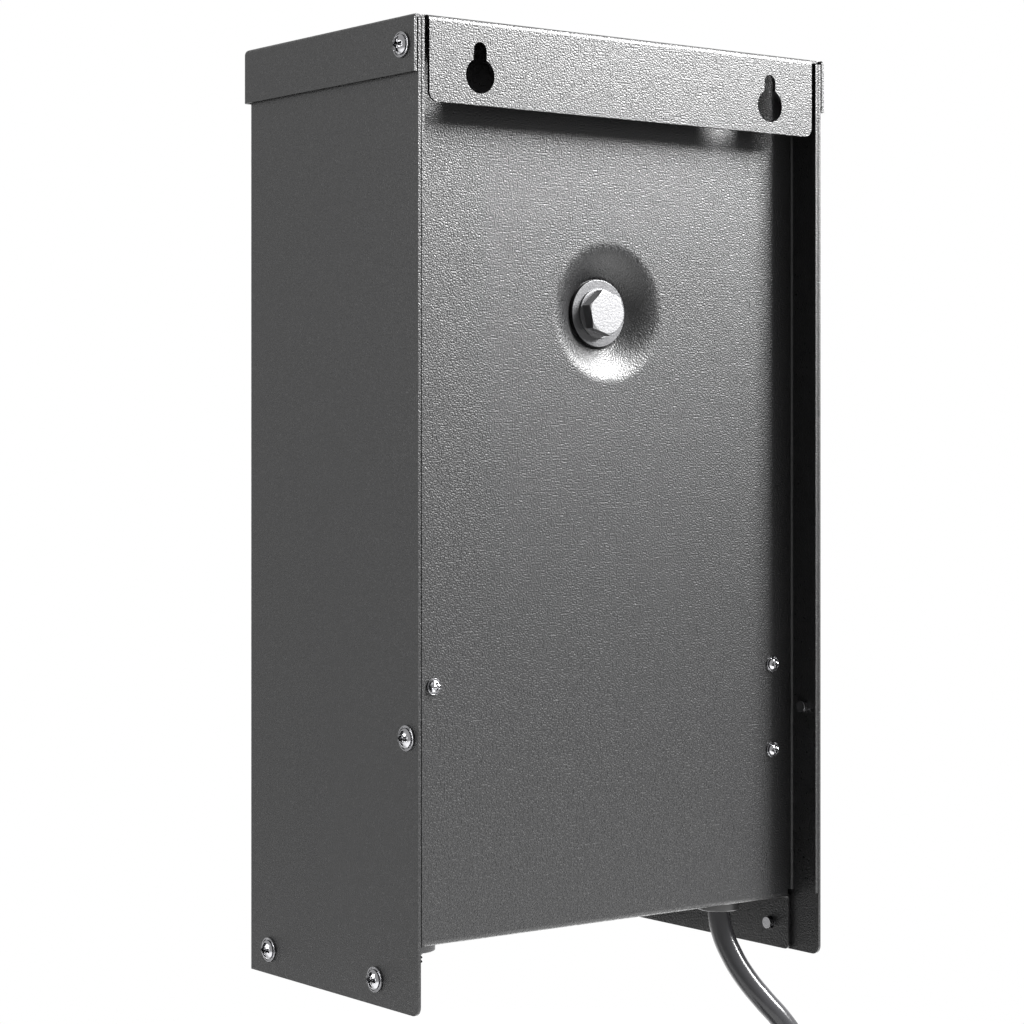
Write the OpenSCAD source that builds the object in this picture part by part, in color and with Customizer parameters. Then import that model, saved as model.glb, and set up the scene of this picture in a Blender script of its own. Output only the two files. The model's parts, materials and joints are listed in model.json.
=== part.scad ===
// Wall-hung low voltage landscape transformer: a sheet metal case with its access door, the toroid,
// the control panel with its timer and terminals, and the supply cord with its coil and plug.
// The wall is the plane Y = 0, the front faces -Y and up is +Z. The origin lies on the wall plane,
// midway between the round parts of the two keyholes. Lengths are in millimetres.

/* [Case] */
// Width of the case's front beside the door, on each side
frame_w = 16.5; // [14:0.5:30]
// Room between the back panel and the control panel
control_room = 49.5; // [46:0.5:70]
// Room between the control panel and the case's front
front_room = 34; // [32:1:50]
// Gap between the control panel and the toroid above it
toroid_room = 8; // [2:0.5:40]
// Thickness of the sheet metal
sheet = 1; // [0.8:0.1:1.2]
// How far the back panel lies in from the wall plane
recess_d = 11.5; // [11:0.5:16]
// Height of the open skirt under the bottom plate
skirt_h = 18.1; // [17:0.1:22]
// Paint gap between two sheets that lie on each other
sheet_gap = 0.3; // [0.2:0.1:0.5]
// Outer radius of the sheet metal bends
bend_r = 1.8; // [1.5:0.1:2.5]
// Radius of the skirt's lower rear corners
skirt_corner_r = 3; // [1:0.5:5]

/* [Cap] */
// Gap between the cap's flanges and the case
cap_gap = 0.5; // [0.3:0.1:1]
// Height of the cap's side and front flanges
cap_flange_h = 17.5; // [15:0.5:20]
// How far the flange at the wall reaches below the middle of the keyholes' round parts
hanger_below = 9; // [8:0.5:14]
// Gap between each end of the hanging flange and the case lining
hanger_gap = 1.8; // [1:0.1:4]
// Radius of the hanging flange's lower corners
hanger_corner_r = 3; // [1:0.5:5]

/* [Keyholes] */
// Distance between the two keyholes
key_spacing = 119; // [90:1:124]
// Radius of a keyhole's round part
key_r = 5.4; // [4.5:0.1:6]
// Width of a keyhole's slot
key_slot_w = 4.9; // [4:0.1:6]
// Height of the slot's end above the round part's centre
key_slot_rise = 7.8; // [6.5:0.1:9]
// Depth of the round part's centre below the top of the cap
key_below_top = 17; // [15:0.1:18]

/* [Toroid] */
// Outer diameter of the taped toroid
toroid_d = 115; // [100:1:120]
// Thickness of the taped toroid along its bolt
toroid_t = 50; // [44:1:54]
// Diameter of the hole through the taped toroid
toroid_hole_d = 43; // [40:1:48]
// Depth of the toroid's axis below the top of the cap
toroid_below_top = 86.7; // [82:0.1:90]
// How far the toroid's axis lies to the left of the case's middle, seen from the front
toroid_off = 0; // [0:0.5:4]
// Thickness of each rubber pad
pad_t = 3; // [2:0.5:4]
// Diameter of the dish pressed into the back panel, at its rim
dish_rim_d = 46; // [42:1:50]
// Diameter of the dish's flat floor
dish_floor_d = 22; // [20:1:24]
// Depth of the dish
dish_depth = 6.5; // [5:0.1:7.5]

/* [Door] */
// Width of the door
door_w = 132; // [124:1:134]
// Height of the door
door_h = 126; // [116:1:128]
// Depth of the door's folded edge
door_t = 7; // [6:0.5:9]
// How far the door laps over each edge of the opening
door_lap = 7; // [6.5:0.5:9]
// Height of the door's lower edge above the bottom plate
door_rise = 4; // [3:0.5:8]
// Radius of the hinge pins
hinge_pin_r = 1.5; // [1:0.1:2]
// Length of each hinge
hinge_h = 24; // [18:1:36]

/* [Controls] */
// Width of the timer
timer_w = 88; // [84:1:92]
// Height of the timer
timer_h = 62; // [58:1:64]
// How far the timer stands out of the control panel
timer_front_t = 12; // [11:0.5:14]
// Width of the terminal block over its fixing ears
block_w = 76; // [72:1:84]
// Travel of the timer's buttons
key_travel = 0.8; // [0.5:0.1:1]
// Travel of the circuit breaker's reset button
reset_travel = 2; // [1:0.1:2.5]

/* [Cord] */
// Diameter of the supply cord
cord_d = 7.6; // [7:0.1:7.8]

/* [Hidden] */
$fn = 48;
// Overrun of every cut past the faces that it cuts
over = 1;
// Clearance between a fastener and the hole that it passes
hole_gap = 0.1;
// Clearance between faces that lie on each other or seat in each other
seat_gap = 0.1;
// Radial clearance of a turning or sliding fit
run_gap = 0.05;
// Clearance between parts that pass each other
pass_gap = 0.3;
// Sizes of the case screws: thread, rim, dome, rim height, head height, length and cross recess
case_screw_r = 2;
case_screw_rim_r = 3.9;
case_screw_dome_r = 3.3;
case_screw_rim_h = 0.8;
case_screw_head_h = 2.6;
case_screw_l = 4;
cross_w = 1.3;
cross_l = 4.6;
cross_depth = 1.6;
// Width and depth of the groove round the dome of a screw's head
groove_w = 0.45;
groove_depth = 0.35;
// Places of the case screws from the wall and from the skirt's edge or the cap's top
cap_screw_d = 6.3;
cap_screw_drop = 9;
side_screw_d = 5.7;
side_screw_z = 83;
skirt_screw_z = 8;
skirt_screw_near = 22.5;
skirt_screw_far = 12.7;
// Sizes of the small screws and their places on the back panel
small_screw_r = 1.5;
small_screw_rim_r = 2.55;
small_screw_dome_r = 2.2;
small_screw_rim_h = 0.5;
small_screw_head_h = 2;
small_screw_l = 6;
small_cross_w = 0.9;
small_cross_l = 3;
small_cross_depth = 1;
panel_screw_left_in = 11.5;
panel_screw_right_in = 13.8;
panel_screw_high_z = 97.3;
panel_screw_low_z = 68.6;
// Height of the lining's lower edge, and the gap between it and the bottom plate's side flanges
lining_rise = 2.7;
lining_notch = 1.5;
// Sizes of the centre bolt, its washers and its nut
bolt_r = 4;
bolt_stick = 3.5;
hex_w = 13;
bolt_face_r = 8;
bolt_face_h = 0.6;
bolt_head_h = 4;
bolt_turn = 12;
washer_r = 10.8;
washer_t = 1.6;
nut_h = 8;
nut_collar_h = 2;
nut_collar_r = 5.9;
hex_chamfer = 0.5;
// Layers of the toroid: tape, secondary winding and primary winding, with the roundings
tape_t = 0.6;
secondary_t = 3;
primary_t = 5;
toroid_round = 9;
core_round = 1;
// Rubber pads and the clamp plate
rear_pad_gap = 1;
pad_margin = 5;
clamp_t = 1.5;
clamp_margin = 7;
clamp_dish_depth = 8;
clamp_dish_gap = 1.5;
// Control panel: height above the bottom plate, how far its feet reach below their screws, widths
panel_low = 12.7;
left_foot_drop = 8;
right_foot_drop = 9;
foot_w = 14;
foot_margin = 7;
lead_slot_w = 56;
lead_slot_h = 6;
// Timer
timer_mid = -4;
timer_top_gap = 9;
timer_low_gap = 13;
timer_wall = 2;
timer_round = 4;
timer_back_t = 15;
timer_cutout_margin = 3;
lens_w = 48;
lens_h = 21;
lens_t = 1.2;
lens_seat_t = 1;
lens_lip = 1;
lens_top_gap = 6.5;
board_t = 1.6;
button_w = 12;
button_h = 7;
button_flange = 1;
button_flange_t = 1;
button_proud = 1.4;
button_low_gap = 11.5;
button_pitch = 18;
switch_w = 6;
switch_t = 3.4;
relay_w = 19;
relay_h = 15.5;
relay_t = 9;
relay_off = 18;
battery_r = 6.2;
battery_t = 5;
battery_off = 20;
// Terminal block
block_mid = -20;
block_h = 24;
block_base_t = 8;
block_wall_h = 8;
block_ear = 8;
block_rise = 8;
block_poles = 3;
barrier_t = 2;
clamp_bar_w = 12;
clamp_bar_h = 16;
clamp_bar_t = 1.5;
clamp_screw_r = 2;
clamp_screw_head_r = 4;
clamp_screw_head_h = 2.2;
clamp_screw_l = 7;
screw_slot_w = 1;
screw_slot_depth = 1;
block_screw_l = 12;
// Circuit breaker: place, body, neck, nut, button and blades
breaker_in = 13.7;
breaker_back = 26;
breaker_w = 15;
breaker_d = 18;
breaker_h = 32;
neck_r = 5.1;
neck_l = 7.6;
thread_pitch = 1.25;
thread_depth = 0.55;
breaker_nut_r = 9;
breaker_nut_h = 3.1;
reset_r = 3.3;
reset_flange_r = 3.9;
reset_flange_h = 1;
reset_proud = 2.4;
reset_pocket = 7;
blade_w = 6.3;
blade_t = 0.8;
blade_h = 8;
blade_spread = 10;
blade_in = 3;
// Strain relief and cable grommet
gland_in = 22.3;
gland_back = 26.5;
gland_r = 5.7;
gland_flange_r = 7;
gland_flange_h = 4;
gland_h = 12;
gland_ribs = 3;
gland_rib_r = 6.5;
gland_rib_h = 1.6;
gland_bore_gap = 0.2;
grommet_hole_r = 11.1;
grommet_flange_r = 13.5;
grommet_flange_h = 1.8;
grommet_bore_r = 7.5;
grommet_x = -20;
grommet_front_in = 17;
// Ground screw with its ring lug
ground_x = -40;
ground_back = 44;
ground_l = 5;
lug_r = 4.2;
lug_t = 0.8;
lug_tail_l = 13;
lug_tail_w = 4.4;
// Door details
door_gap = 0.5;
gasket_edge = 0.5;
leaf_t = 1;
leaf_w = 10;
knuckle_wall = 1.1;
hinge_gap = 0.3;
hinge_inset = 15;
pin_head_h = 1.2;
pin_head_r = 2.3;
rivet_r = 1.6;
rivet_head_r = 2.6;
rivet_head_h = 1.1;
rivet_edge = 3.4;
rivet_pitch = 14;
// Latch
latch_in = 20;
latch_barrel_r = 7;
latch_flange_r = 9.5;
latch_flange_h = 2;
latch_nut_w = 19;
latch_nut_h = 3;
latch_shaft_r = 3;
latch_wing_l = 20;
latch_wing_w = 5;
latch_wing_h = 9;
latch_disc_r = 8;
latch_disc_h = 3;
cam_gap = 0.5;
cam_t = 2;
cam_w = 10;
cam_reach = 20;
cam_square = 4.2;
cam_screw_r = 1.5;
cam_screw_head_r = 3;
cam_screw_head_h = 1.8;
cam_screw_l = 8;
// Leads inside the case
supply_lead_d = 2.6;
secondary_lead_d = 3.4;
lead_sides = 8;
// Cord: sides of the swept tube, coil and plug
cord_sides = 10;
coil_sides = 6;
coil_rings_per_turn = 24;
coil_turns = 5;
coil_outer_r = 51;
coil_pitch = 8.2;
coil_start = [-21.5, 20.9, -95];
coil_lead = 8;
tie_t = 1.2;
tie_h = 4.8;
tie_gap = 0.4;
tie_head_t = 4.2;
tie_head_l = 6.4;
plug_w = 26;
plug_l = 30;
plug_t = 28;
plug_round = 7;
plug_neck_r = 6;
plug_neck_l = 12;
plug_bore_gap = 0.1;
mains_blade_off = 5.4;
mains_blade_w = 6.35;
mains_blade_t = 1.5;
mains_blade_l = 17.5;
mains_blade_spread = 12.7;
mains_pin_r = 2.4;
mains_pin_l = 20;
mains_pin_off = 11.9;
// The cord's route, X and Y from the strain relief's axis and Z from the skirt's lower edge: out of
// the case, over to the wall and down to the coil
run_route = [
    [0, 0, 31.8], [0, 0, 23], [0, 0.1, 14.5], [-0.6, 1.4, 6.5], [-2, 4.6, -1], [-4.3, 9.2, -8.5],
    [-8, 13.8, -15.5], [-12.6, 17.3, -22], [-16.9, 19.6, -29], [-20.1, 20.7, -37],
    [-21.4, 20.9, -46], [-21.5, 20.9, -56], [-21.5, 20.9, -71], [-21.5, 20.9, -87]
];
// From the coil's end down to the plug
tail_route = [
    [-21.5, 12.7, -103], [-21.5, 12.7, -111], [-21.5, 12.6, -120], [-20.7, 12.2, -131],
    [-19.3, 11.8, -142], [-18.5, 11.5, -154], [-18.5, 11.5, -166]
];
// The leads inside, each as its way from the cord's end, a breaker blade or the lug, and its way
// back from where it ends
black_start = [[1.5, 0.5, 1.9], [1.5, 0.5, 8.7], [4, -0.5, 16.7], [12, -3.5, 23.2], [24, -6.5, 25.7]];
black_end = [
    [-62.8, -9, 0.7], [-28.8, -8, 2.7], [-12.8, -5, 7.2], [-4.8, -2, 10.3], [-1, -0.3, 9.3],
    [0, 0, 5.3], [0, 0, 0.3]
];
white_start = [[-1.5, 0.5, 1.9], [-1.5, 0.5, 16.7], [-1.5, -1.5, 42.7], [-1, -2.5, 82.7]];
white_end = [[-17.8, 6, -30.8], [-11.8, 4, -15.8], [-4.9, 0.6, -6.1], [0, 0, 0]];
green_start = [[0, -2.5, 1.9], [0, -2.9, 5.7], [0.4, -4.5, 8.9], [1.2, -7.5, 10.1]];
green_end = [
    [-17.8, 6.6, 18.9], [-17, 4, 14.9], [-16, 2, 9.4], [-14.5, 0.6, 4.3], [-12, 0, 1.7], [-8, 0, 1.5]
];
load_start = [
    [0, 0, 0.3], [0, 0, 5.3], [-1.2, -0.3, 11.2], [-4.8, -1.5, 18.2], [-9.3, -3, 27.7],
    [-13.3, -4.5, 46.7]
];
load_end = [[21.3, 4, -34.8], [12.8, 2, -17.3], [4.3, 0.4, -6.3], [0, 0, 0]];
// Where the supply leads reach the toroid: angle from its lowest point, place along it and gap
lead_angle = 38.7;
lead_in = 17;
lead_gap = 0.4;
// One lead from the toroid to a terminal: how far it drops before its first bend, and its bends
lead_drop_z = 8;
lead_bend = 5;

case_w = door_w + 2 * frame_w;
case_d = recess_d + sheet + control_room + front_room;
half_w = case_w / 2;
side_in = half_w - sheet;
lining_out = side_in - sheet_gap;
lining_in = lining_out - sheet;
front_in = case_d - sheet;
panel_front = recess_d + sheet;
plate_top = skirt_h + sheet;
cap_in_x = half_w + cap_gap;
cap_out_x = cap_in_x + sheet;
cap_in_y = case_d + cap_gap;
cap_out_y = cap_in_y + sheet;
control_low = plate_top + panel_low;
control_top = control_low + block_rise + block_h + timer_low_gap + timer_h + timer_top_gap;
toroid_r = toroid_d / 2;
toroid_x = -toroid_off;
toroid_z = control_top + toroid_room + toroid_r;
case_h = toroid_z + toroid_below_top;
cap_under = case_h - sheet;
body_top = cap_under - sheet_gap;
hanger_half = lining_in - hanger_gap;
hanger_h = key_below_top + hanger_below;
key_up = case_h - key_below_top;
toroid_hole_r = toroid_hole_d / 2;
toroid_back = panel_front + pad_t;
toroid_front = toroid_back + toroid_t;
clamp_back = toroid_front + pad_t;
dish_floor_back = recess_d + dish_depth;
bolt_hole_r = bolt_r + hole_gap;
rear_pad_hole_r = dish_rim_d / 2 + rear_pad_gap;
clamp_dish_rim_r = toroid_hole_r - clamp_dish_gap;
clamp_floor = clamp_back + clamp_t - clamp_dish_depth;
bolt_l = clamp_floor + washer_t + nut_h + bolt_stick - dish_floor_back + washer_t;
left_screw_x = -(half_w - panel_screw_left_in);
right_screw_x = half_w - panel_screw_right_in;
control_y = case_d - front_room;
control_left = -(lining_in - pass_gap - sheet);
control_right = right_screw_x + foot_margin;
timer_z = control_top - timer_top_gap - timer_h / 2;
block_z = control_low + block_rise + block_h / 2;
block_pole = (block_w - 2 * block_ear - barrier_t) / block_poles;
block_face = control_y + block_base_t;
breaker_x = half_w - breaker_in;
gland_x = -(half_w - gland_in);
grommet_back = case_d - grommet_front_in;
door_low = plate_top + door_rise;
door_mid = door_low + door_h / 2;
door_back = case_d + door_gap;
door_face = door_back + door_t;
gasket_w = door_lap - bend_r - seat_gap - gasket_edge;
knuckle_r = hinge_pin_r + knuckle_wall;
hinge_x = -(door_w / 2 + leaf_t + knuckle_r + hinge_gap);
hinge_y = -(case_d + leaf_t + knuckle_r + hinge_gap);
hinge_heights = [door_low + hinge_inset, door_low + door_h - hinge_inset - hinge_h];
latch_x = door_w / 2 - latch_in;
cam_face = front_in - cam_gap;
cord_r = cord_d / 2;
gland_bore_r = cord_r + gland_bore_gap;
coil_mid_turn = coil_turns / 2;
coil_x = coil_start[0] + coil_outer_r;
plug_end = tail_route[len(tail_route) - 1];

function unit(v) = v / norm(v);

// The ring of points round a place on a route, square to the way that the route goes there
function ring(at, way, radius, sides) =
    let (side = unit(cross(way, [0, 1, 0])), up = cross(side, unit(way)))
    [for (k = [0:sides - 1])
        at + radius * (cos(360 * k / sides) * side + sin(360 * k / sides) * up)];

function way_at(route, i) =
    route[min(i + 1, len(route) - 1)] - route[max(i - 1, 0)];

// The place on the coil after t turns: it spirals in, climbs a layer and spirals out
function coil_radius(t) = coil_outer_r - coil_pitch * (coil_mid_turn - abs(t - coil_mid_turn));
function coil_climb(t) = min(max(2 * (t - coil_mid_turn) + 0.5, 0), 1);
function coil_point(t) = [
    coil_x - coil_radius(t) * cos(360 * t),
    coil_start[1] - coil_pitch * coil_climb(t),
    coil_start[2] - coil_radius(t) * sin(360 * t)
];
coil_route = [
    coil_start + [0, 0, coil_lead],
    for (k = [0:coil_turns * coil_rings_per_turn]) coil_point(k / coil_rings_per_turn),
    coil_point(coil_turns) - [0, 0, coil_lead]
];
// Least distance between turns, measured on points at least a third of a turn apart, less the cord
coil_gap = min([
    for (i = [0:len(coil_route) - 1], j = [i + coil_rings_per_turn / 3:len(coil_route) - 1])
    norm(coil_route[i] - coil_route[j])
]) - cord_d;
echo(coil_least_gap = coil_gap);

// Moves a part drawn from the skirt's lower edge up to its place under the keyholes
module from_skirt() {
    translate([0, 0, -key_up]) children();
}

// A tube swept along a route, closed with flat ends
module tube(route, radius, sides) {
    n = len(route);
    rings = [for (i = [0:n - 1]) each ring(route[i], way_at(route, i), radius, sides)];
    walls = [
        for (i = [0:n - 2], k = [0:sides - 1])
        let (a = i * sides + k, b = i * sides + (k + 1) % sides)
        each [[a, a + sides, b], [b, a + sides, b + sides]]
    ];
    start = [for (k = [1:sides - 2]) [0, k, k + 1]];
    finish = [for (k = [1:sides - 2]) [(n - 1) * sides, (n - 1) * sides + k + 1, (n - 1) * sides + k]];
    polyhedron(points = rings, faces = concat(walls, start, finish), convexity = 12);
}

// A flat rectangle with round corners, between two opposite corners
module round_rect(low, high, r) {
    translate([low[0] + r, low[1]]) square([high[0] - low[0] - 2 * r, high[1] - low[1]]);
    translate([low[0], low[1] + r]) square([high[0] - low[0], high[1] - low[1] - 2 * r]);
    for (x = [low[0] + r, high[0] - r], y = [low[1] + r, high[1] - r])
        translate([x, y]) circle(r);
}

// What is cut off a square corner at the origin to round it, the body lying at +X and +Y
module corner_waste(r) {
    difference() {
        translate([-over, -over]) square(r + over);
        translate([r, r]) circle(r);
    }
}

// A box between two corners
module box(low, high) {
    translate(low) cube(high - low);
}

// Turns a part drawn along +Z so that it points to the wall, +Y
module to_wall() {
    rotate([-90, 0, 0]) children();
}

// Turns a part drawn along +Z so that it points out of the front, -Y
module to_front() {
    rotate([90, 0, 0]) children();
}

// Extrudes an outline of X and Z along Y, from a depth to a greater depth
module along_y(from, to) {
    translate([0, -from, 0]) rotate([90, 0, 0]) linear_extrude(to - from) children();
}

// Extrudes an outline of Y and Z along X
module along_x(from, to) {
    translate([from, 0, 0]) rotate([90, 0, 90]) linear_extrude(to - from) children();
}

// A hexagonal prism of a width across its flats, chamfered at its top
module hex_block(w, h, chamfer) {
    corner_r = w / 2 / cos(30);
    intersection() {
        rotate([0, 0, 90]) cylinder(h = h, r = corner_r, $fn = 6);
        union() {
            cylinder(h = h - chamfer, r = corner_r);
            translate([0, 0, h - chamfer]) cylinder(h = chamfer, r1 = corner_r, r2 = w / 2);
        }
    }
}

// A screw with a rimmed and grooved pan head above z = 0 and a cross recess
module pan_screw(r, rim_r, dome_r, rim_h, head_h, length, slot_w, slot_l, slot_depth) {
    dome_h = head_h - rim_h;
    ball_r = (dome_r * dome_r + dome_h * dome_h) / (2 * dome_h);
    difference() {
        union() {
            cylinder(h = rim_h, r = rim_r);
            intersection() {
                translate([0, 0, head_h - ball_r]) sphere(ball_r);
                cylinder(h = head_h, r = dome_r);
            }
            translate([0, 0, -length]) cylinder(h = length, r = r);
        }
        translate([0, 0, rim_h - groove_depth])
            difference() {
                cylinder(h = head_h, r = dome_r + groove_w / 2);
                translate([0, 0, -over]) cylinder(h = head_h + 2 * over, r = dome_r - groove_w / 2);
            }
        for (turn = [0, 90])
            rotate([0, 0, turn])
                box([-slot_l / 2, -slot_w / 2, head_h - slot_depth], [slot_l / 2, slot_w / 2, head_h + over]);
    }
}

module case_screw() {
    pan_screw(case_screw_r, case_screw_rim_r, case_screw_dome_r, case_screw_rim_h,
        case_screw_head_h, case_screw_l, cross_w, cross_l, cross_depth);
}

module small_screw(length) {
    pan_screw(small_screw_r, small_screw_rim_r, small_screw_dome_r, small_screw_rim_h,
        small_screw_head_h, length, small_cross_w, small_cross_l, small_cross_depth);
}

// The dish's outline from its floor to its rim, as radius and depth, steepest at its floor
function dish_curve(floor_r, rim_r, depth, back) = [
    for (k = [0:10]) [
        floor_r + (rim_r - floor_r) * k / 10,
        back + depth * (1 - sin(9 * k))
    ]
];

// A dished ring of sheet, its rim flush with a plate that starts at z = 0
module dish(hole_r, floor_r, rim_r, depth, t) {
    near = dish_curve(floor_r, rim_r, depth, 0);
    far = dish_curve(floor_r, rim_r, depth, t);
    rotate_extrude()
        polygon(concat(
            [[hole_r, depth]], near,
            [[rim_r + t, 0], [rim_r + t, t]],
            [for (k = [len(far) - 1:-1:0]) far[k]],
            [[hole_r, depth + t]]
        ));
}

// Places of the case screws on the +X side, as depth from the wall and height above the skirt's edge
side_holes = [
    [side_screw_d, side_screw_z],
    [skirt_screw_near, skirt_screw_z],
    [case_d - skirt_screw_far, skirt_screw_z]
];
cap_hole = [cap_screw_d, case_h - cap_screw_drop];

// Holes for the case screws through everything between two distances from the middle
module side_screw_holes(from, to) {
    for (side = [-1, 1], at = concat(side_holes, [cap_hole]))
        translate([side * from, -at[0], at[1]])
            rotate([0, side * 90, 0])
                cylinder(h = to - from, r = case_screw_r + hole_gap);
}

// Rounds the lower rear corners of the sheets between two distances from the middle
module skirt_corner_cuts(from, to) {
    for (side = [-1, 1])
        mirror([side < 0 ? 1 : 0, 0, 0])
            along_x(from, to) mirror([1, 0]) corner_waste(skirt_corner_r);
}

module outer_wrap() {
    color("#3a3a3c")
    from_skirt()
    difference() {
        linear_extrude(body_top)
            difference() {
                union() {
                    translate([-half_w, -case_d + bend_r]) square([case_w, case_d - bend_r]);
                    translate([-half_w + bend_r, -case_d]) square([case_w - 2 * bend_r, case_d]);
                    for (x = [-half_w + bend_r, half_w - bend_r])
                        translate([x, -case_d + bend_r]) circle(bend_r);
                }
                union() {
                    translate([-side_in, -case_d + bend_r]) square([2 * side_in, case_d + over]);
                    translate([-half_w + bend_r, -front_in]) square([case_w - 2 * bend_r, case_d + over]);
                    for (x = [-half_w + bend_r, half_w - bend_r])
                        translate([x, -case_d + bend_r]) circle(bend_r - sheet);
                }
            }
        along_y(front_in - over, case_d + over)
            round_rect(
                [-door_w / 2 + door_lap, door_low + door_lap],
                [door_w / 2 - door_lap, door_low + door_h - door_lap],
                bend_r);
        side_screw_holes(side_in - over, half_w + over);
        skirt_corner_cuts(side_in - over, half_w + over);
        for (at = rivet_places)
            translate([at[0], -case_d + sheet + over, at[1]])
                to_front() cylinder(h = sheet + 2 * over, r = rivet_r + hole_gap);
    }
}

module back_chassis() {
    color("#77777a")
    from_skirt()
    difference() {
        union() {
            // back panel with its two side linings
            translate([0, 0, skirt_h + lining_rise])
                linear_extrude(body_top - skirt_h - lining_rise)
                    difference() {
                        union() {
                            translate([-lining_out, -panel_front + bend_r])
                                square([2 * lining_out, panel_front - bend_r]);
                            translate([-lining_out + bend_r, -panel_front])
                                square([2 * lining_out - 2 * bend_r, panel_front]);
                            for (x = [-lining_out + bend_r, lining_out - bend_r])
                                translate([x, -panel_front + bend_r]) circle(bend_r);
                        }
                        translate([-lining_in, -panel_front + bend_r])
                            square([2 * lining_in, recess_d + over]);
                        translate([-lining_out + bend_r, -recess_d])
                            square([2 * lining_out - 2 * bend_r, recess_d + over]);
                        for (x = [-lining_out + bend_r, lining_out - bend_r])
                            translate([x, -panel_front + bend_r]) circle(bend_r - sheet);
                    }
            // the panel's lower edge bends forward into the bottom plate
            along_x(-lining_in + bend_r, lining_in - bend_r)
                difference() {
                    union() {
                        translate([-panel_front, skirt_h + bend_r]) square([sheet, lining_rise]);
                        translate([-recess_d - bend_r, skirt_h + bend_r]) circle(bend_r);
                    }
                    translate([-recess_d - bend_r, skirt_h + bend_r]) circle(bend_r - sheet);
                    translate([-recess_d - 2 * bend_r, skirt_h]) square([bend_r, 2 * bend_r]);
                    translate([-recess_d - bend_r, skirt_h + bend_r]) square([bend_r - sheet, bend_r]);
                }
            // bottom plate with its two side flanges
            along_y(recess_d + bend_r, front_in - sheet_gap)
                difference() {
                    union() {
                        translate([-lining_out, 0]) square([2 * lining_out, plate_top - bend_r]);
                        translate([-lining_out + bend_r, 0]) square([2 * lining_out - 2 * bend_r, plate_top]);
                        for (x = [-lining_out + bend_r, lining_out - bend_r])
                            translate([x, plate_top - bend_r]) circle(bend_r);
                    }
                    translate([-lining_in, -over]) square([2 * lining_in, plate_top - bend_r + over]);
                    translate([-lining_out + bend_r, -over])
                        square([2 * lining_out - 2 * bend_r, skirt_h + over]);
                    for (x = [-lining_out + bend_r, lining_out - bend_r])
                        translate([x, plate_top - bend_r]) circle(bend_r - sheet);
                }
        }
        side_screw_holes(lining_in - over, lining_out + over);
        // rounded lower rear corner of the side flanges
        for (side = [-1, 1])
            mirror([side < 0 ? 1 : 0, 0, 0])
                along_x(lining_in - over, lining_out + over)
                    translate([-recess_d - bend_r, 0]) mirror([1, 0]) corner_waste(bend_r);
        // the place of the dish, and the holes of the control panel's screws
        translate([toroid_x, -recess_d + over, toroid_z])
            to_front() cylinder(h = sheet + 2 * over, r = dish_rim_d / 2 + sheet / 2);
        for (at = panel_screw_places)
            translate([at[0], -recess_d + over, at[1]])
                to_front() cylinder(h = sheet + 2 * over, r = small_screw_r + hole_gap);
        // holes in the bottom plate
        translate([breaker_x, -breaker_back, skirt_h - over])
            cylinder(h = sheet + 2 * over, r = neck_r + hole_gap);
        translate([gland_x, -gland_back, skirt_h - over])
            cylinder(h = sheet + 2 * over, r = gland_r + hole_gap);
        translate([grommet_x, -grommet_back, skirt_h - over])
            cylinder(h = sheet + 2 * over, r = grommet_hole_r);
        translate([ground_x, -ground_back, skirt_h - over])
            cylinder(h = sheet + 2 * over, r = small_screw_r + hole_gap);
    }
    color("#77777a")
    from_skirt()
        translate([toroid_x, -recess_d, toroid_z])
            to_front() dish(bolt_hole_r, dish_floor_d / 2, dish_rim_d / 2, dish_depth, sheet);
}

// A block with the cap's rounded top and front edges, open questions of its rear left to its cuts
module hood_block(x, depth, low, high, r) {
    box([-x + r, -depth + r, low], [x - r, 0, high]);
    box([-x, -depth + r, low], [x, 0, high - r]);
    box([-x + r, -depth, low], [x - r, 0, high - r]);
    for (side = [-1, 1]) {
        translate([side * (x - r), 0, high - r]) to_front() cylinder(h = depth - r, r = r);
        translate([side * (x - r), -depth + r, low]) cylinder(h = high - r - low, r = r);
        translate([side * (x - r), -depth + r, high - r]) sphere(r);
    }
    translate([-x + r, -depth + r, high - r]) rotate([0, 90, 0]) cylinder(h = 2 * x - 2 * r, r = r);
}

module top_cap() {
    color("#3a3a3c")
    from_skirt()
    difference() {
        union() {
            difference() {
                hood_block(cap_out_x, cap_out_y, case_h - cap_flange_h, case_h, bend_r);
                difference() {
                    translate([0, over, 0])
                        hood_block(cap_in_x, cap_in_y + over, case_h - cap_flange_h - over, cap_under,
                            bend_r - sheet);
                }
                box([-cap_in_x, -bend_r, case_h - cap_flange_h - over], [cap_in_x, over, case_h + over]);
            }
            // the flange that hangs down at the wall
            along_x(-hanger_half, hanger_half)
                difference() {
                    union() {
                        translate([-sheet, case_h - hanger_h]) square([sheet, hanger_h - bend_r]);
                        translate([-bend_r, case_h - bend_r]) circle(bend_r);
                    }
                    translate([-bend_r, case_h - bend_r]) circle(bend_r - sheet);
                    translate([-3 * bend_r, case_h - 2 * bend_r]) square([2 * bend_r, 2 * bend_r]);
                    translate([-bend_r, case_h - 2 * bend_r]) square([bend_r - sheet, bend_r]);
                }
        }
        side_screw_holes(cap_in_x - over, cap_out_x + over);
        for (side = [-1, 1]) {
            mirror([side < 0 ? 1 : 0, 0, 0])
                along_y(-over, sheet + over)
                    translate([hanger_half, case_h - hanger_h]) mirror([1, 0]) corner_waste(hanger_corner_r);
            translate([side * key_spacing / 2, over, key_up]) {
                to_front() cylinder(h = sheet + 2 * over, r = key_r);
                translate([0, 0, key_slot_rise])
                    to_front() cylinder(h = sheet + 2 * over, r = key_slot_w / 2);
                box([-key_slot_w / 2, -sheet - 2 * over, 0], [key_slot_w / 2, 0, key_slot_rise]);
            }
        }
    }
}

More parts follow.
